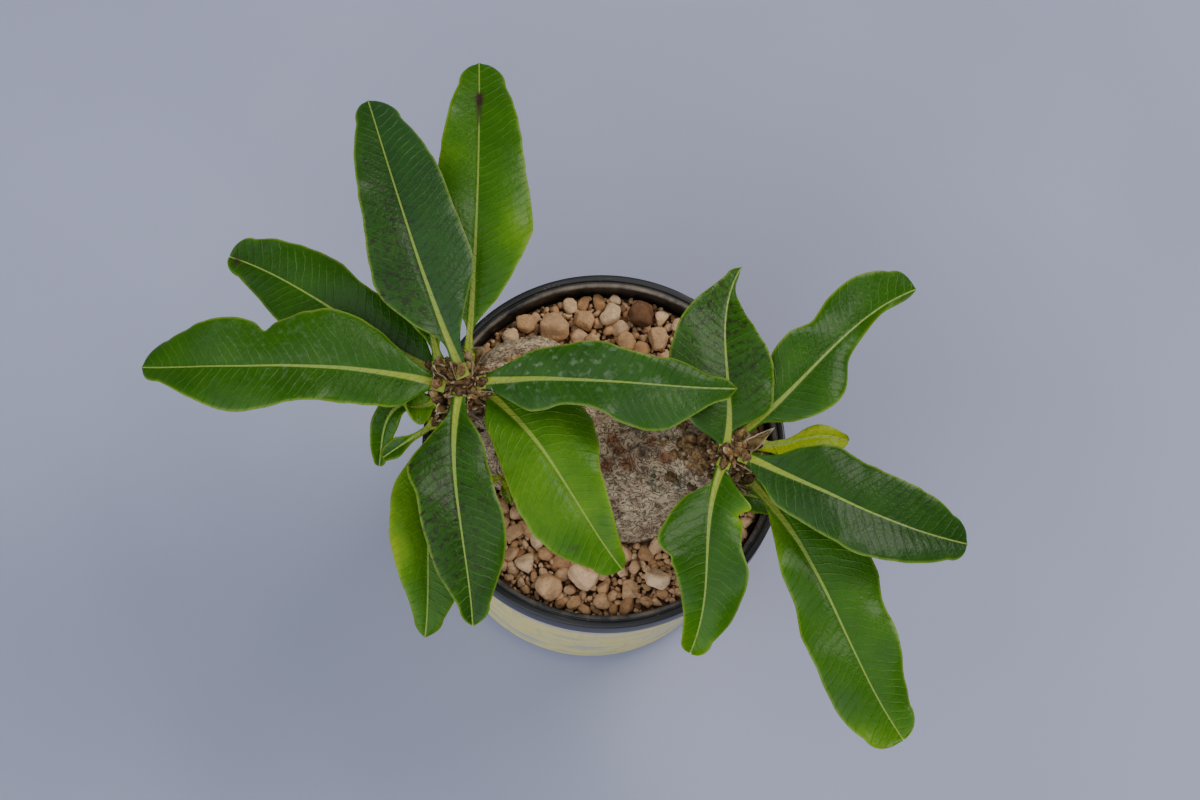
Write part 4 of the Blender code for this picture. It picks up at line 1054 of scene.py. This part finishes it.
def build_pot(mat):
    """The pot, with a grooved rim, a slightly raised base and drilled drain holes."""
    inner_top = WALL_TOP_RADIUS - POT_WALL
    groove = inner_top + 1.4
    profile = rounded((
        (RIM_RADIUS, POT_TOP), (RIM_RADIUS, WALL_TOP), (WALL_TOP_RADIUS, WALL_TOP),
        (wall_radius(1.0), 1.0), (BASE_RADIUS - 1.0, 0), (BASE_RADIUS - 3.0, 0), (BASE_RADIUS - 3.5, 0.5),
        (0, 0.5), (0, POT_FLOOR), (wall_radius(POT_FLOOR) - POT_WALL, POT_FLOOR),
        (inner_top, WALL_TOP), (inner_top, POT_TOP - 0.3), (groove - 0.35, POT_TOP - 0.1),
        (groove - 0.15, POT_TOP - 0.55), (groove + 0.15, POT_TOP - 0.55), (groove + 0.35, POT_TOP),
    ), 0.55)
    points, faces, _ = turned(profile)
    shell, drill = (add_object(name, bpy.data.meshes.new(name)) for name in ("pot_shell", "drill"))
    shell.data.from_pydata(points, [], faces)
    bm = bmesh.new()
    bm.from_mesh(shell.data)
    bmesh.ops.remove_doubles(bm, verts=bm.verts, dist=0.001)
    bmesh.ops.recalc_face_normals(bm, faces=bm.faces)
    bm.to_mesh(shell.data)
    bm.free()
    bm = bmesh.new()
    for i in range(DRAIN_HOLES):
        angle = math.tau * i / DRAIN_HOLES
        centre = Vector((math.cos(angle), math.sin(angle), 0)) * DRAIN_CIRCLE_RADIUS
        bmesh.ops.create_cone(
            bm, cap_ends=True, segments=32, radius1=DRAIN_HOLE_RADIUS, radius2=DRAIN_HOLE_RADIUS,
            depth=3 * POT_FLOOR, matrix=Matrix.Translation(centre))
    bm.to_mesh(drill.data)
    bm.free()
    holes = shell.modifiers.new("drain holes", "BOOLEAN")
    holes.object = drill
    points, _, faces = taken_mesh(shell)
    bpy.data.objects.remove(drill, do_unlink=True)
    radius = [math.hypot(point.x, point.y) for point in points]
    around = [math.atan2(point.y, point.x) * RIM_RADIUS for point in points]
    dust = []
    for point, reach in zip(points, radius):
        inner_edge = math.exp(-(((reach - inner_top - 0.5) / 0.7) ** 2))
        inner_edge *= smoothstep(POT_TOP - 1.2, POT_TOP - 0.3, point.z)
        far_side = 0.55 + 0.45 * smoothstep(-10, 25, point.y - point.x * 0.5)
        soil_line = 0.12 * smoothstep(GRIT_TOP + 3.5, GRIT_TOP, point.z) * (reach < inner_top + 0.1)
        foot = 0.35 * smoothstep(4, 0, point.z)
        dust.append(max(inner_edge * far_side, soil_line, foot))
    return piece("pot_shell_moulded", points, faces, mat, "black_plastic", ("pot",), sharp_angle=50,
                 dust=dust, around=around, radius=radius)


def build_sleeve(mat):
    """The printed sleeve: a thin open ring whose ends meet at the back."""
    low, high = (corner.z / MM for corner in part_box("label_sleeve"))
    gap, thickness, seam = 0.3, 0.3, 1.5
    profile = (
        (wall_radius(high) + gap + thickness, high), (wall_radius(low) + gap + thickness, low),
        (wall_radius(low) + gap, low), (wall_radius(high) + gap, high),
    )
    stations = 24              # along its height, so that its shading stays even
    outer = [tuple(Vector(profile[0]).lerp(Vector(profile[1]), i / stations)) for i in range(stations + 1)]
    inner = [tuple(Vector(profile[2]).lerp(Vector(profile[3]), i / stations)) for i in range(stations + 1)]
    half_seam = seam / 2 / wall_radius(high)
    points, faces, angles = turned(outer + inner, math.pi / 2 + half_seam, math.tau - 2 * half_seam)
    return piece("label_sleeve_print", points, faces, mat, "printed_sleeve", ("label_sleeve",),
                 around=[angle * RIM_RADIUS for angle in angles], height=[point[2] for point in points])


# ---------------------------------------------------------------- small shoots

def build_shoot(mat, surface):
    """A tuft of tiny new leaves low on the stem."""
    steps = 20
    across = [i / 4 - 1 for i in range(9)]
    loop = [(s, 1) for s in across] + [(s, -1) for s in reversed(across[1:-1])]
    points, faces = [], []
    layers = {label: [] for label in LEAF_LAYERS}
    for base, heading, length, half, tone in SHOOT_LEAVES:
        direction = Vector((math.cos(math.radians(heading)), math.sin(math.radians(heading)), 0))
        side = direction.cross(Vector((0, 0, 1)))
        near, normal, _, _ = surface.find_nearest(Vector(base) * MM)
        root = near / MM + normal * 0.2
        faces.extend(tube_faces(steps, len(loop), len(points)))
        for row in range(steps + 1):
            t = row / steps
            width = half * (0.25 + 0.75 * math.sin(math.pi * min(1.0, 0.12 + 0.88 * t)) ** 0.8)
            rise = 0.9 * math.sin(t * 2.2) * length / 4
            for s, face in loop:
                lift = rise + 0.35 * abs(s) * width + face * 0.12 * math.sqrt(max(0.0, 1 - s**6))
                points.append(root + direction * (t * length) + side * (s * width) + Vector((0, 0, lift)))
                sample = {"tone": tone, "rib": abs(s) * 4, "vein": t * length / 0.7 - abs(s) * 0.6,
                          "margin": 3 * (1 - abs(s)), "petiole": 1 - t, "under": (1 - face) / 2}
                for label in LEAF_LAYERS:
                    layers[label].append(sample.get(label, 0.0))
    return piece("new_shoot", points, faces, mat, "green_leaf", **layers)


# ---------------------------------------------------------------- floor, light and camera

def build_floor(mat):
    """The pale floor, 3 m across."""
    bm = bmesh.new()
    bmesh.ops.create_grid(bm, x_segments=20, y_segments=20, size=1.5)
    mesh = bpy.data.meshes.new("floor")
    bm.to_mesh(mesh)
    bm.free()
    mesh.materials.append(mat)
    add_object("floor", mesh)


def add_light(name, place, size, power, colour):
    """A square soft box, aimed at the plant."""
    data = bpy.data.lights.new(name, "AREA")
    data.size = size
    data.energy = power
    data.color = linear(colour)[:3]
    light = add_object(name, data)
    light.location = place
    light.rotation_euler = (Vector((0, 0, 0.08)) - Vector(place)).to_track_quat("-Z", "Y").to_euler()


def build_light():
    """A soft room with a key and a fill light."""
    world = bpy.data.worlds.new("soft room")
    world.use_nodes = True
    add = partial(add_node, world.node_tree)
    background = world.node_tree.nodes["Background"]
    background.inputs["Color"].default_value = linear("#E8EBF2")
    # Brightest overhead and to the front left, as under a skylight, so that one half of a folded
    # leaf shines.
    outward = add("TexCoord").outputs["Generated"]
    nearness = add("VectorMath", {1: (-0.35, -0.35, 0.87)}, {0: outward}, operation="DOT_PRODUCT")
    glow = add("MapRange", {"From Min": 0.6, "From Max": 0.97, "To Min": ROOM_DIM, "To Max": ROOM_BRIGHT},
        {"Value": nearness.outputs["Value"]}, interpolation_type="SMOOTHSTEP")
    link(background, {"Strength": glow})
    bpy.context.scene.world = world
    add_light("key", (0.75, 0.55, 1.15), 0.7, KEY_POWER, "#FFF8F0")
    add_light("fill", (-0.55, -0.75, 0.6), 1.0, FILL_POWER, "#F2F4FF")


def build_camera():
    """A long lens, looking steeply down from the front, slightly from the left and rolled a little."""
    elevation, azimuth, roll = (math.radians(angle) for angle in (74.5, -12.0, 11.6))
    target = Vector((-1.0, 12.4, POT_TOP)) * MM
    distance = 0.702
    back = Vector((math.sin(azimuth) * math.cos(elevation), -math.cos(azimuth) * math.cos(elevation),
                   math.sin(elevation)))
    level = (-back).cross(Vector((0, 0, 1))).normalized()
    upright = level.cross(-back)
    right = level * math.cos(roll) + upright * math.sin(roll)
    up = upright * math.cos(roll) - level * math.sin(roll)
    data = bpy.data.cameras.new("camera")
    data.lens = 85
    data.sensor_width = 36
    data.clip_start = 0.01
    camera = add_object("camera", data)
    turn = Matrix((right, up, back)).transposed().to_4x4()
    camera.matrix_world = Matrix.Translation(target + back * distance) @ turn
    bpy.context.scene.camera = camera


def main():
    """Builds the stage and then every piece; the random draws follow this order."""
    build_camera()
    build_light()
    build_floor(painted_board())
    rng = random.Random(11)

    leaf = waxy_leaf()
    for crown, leaves in LEAVES.items():
        for spec in leaves:
            build_leaf(crown, spec, leaf)

    bark = build_bark(wrinkled_bark())
    surface = BVHTree.FromObject(bark, bpy.context.evaluated_depsgraph_get())
    husk = scaly_crown()
    for crown in CROWNS:
        leaf_bases(surface, crown, husk, rng)
    bract = papery_bract()
    for name in BRACTS:
        build_bract(name, bract)
    for crown in CROWNS:
        build_sheaths(crown, bract, rng)
    build_shoot(leaf, surface)

    clay = fired_clay_stone()
    discs = build_stones(clay, rng)
    middling = scatter(rng, 1800, (2.4, 5.0), 0.76, surface, discs)
    small = scatter(rng, 20000, (0.9, 2.4), 0.68, surface, discs)
    build_loose("loose_granules", clay, "fine_grit", middling, 3, rng, (0.15, 0.85), 0.9)
    build_loose("small_granules", clay, "fine_grit", small, 2, rng, (0.05, 0.8), 0.6)
    for node, earthy in (("grit_bed", earth("damp clay crumbs", "#3E2C20", "#8A6648", 1.6)),
                         ("soil", earth("peaty potting soil", "#17100B", "#33241A", 2.5))):
        frame["nodes"][node].material_slots[0].material = earthy

    build_pot(moulded_polypropylene())
    build_sleeve(printed_film())


main()
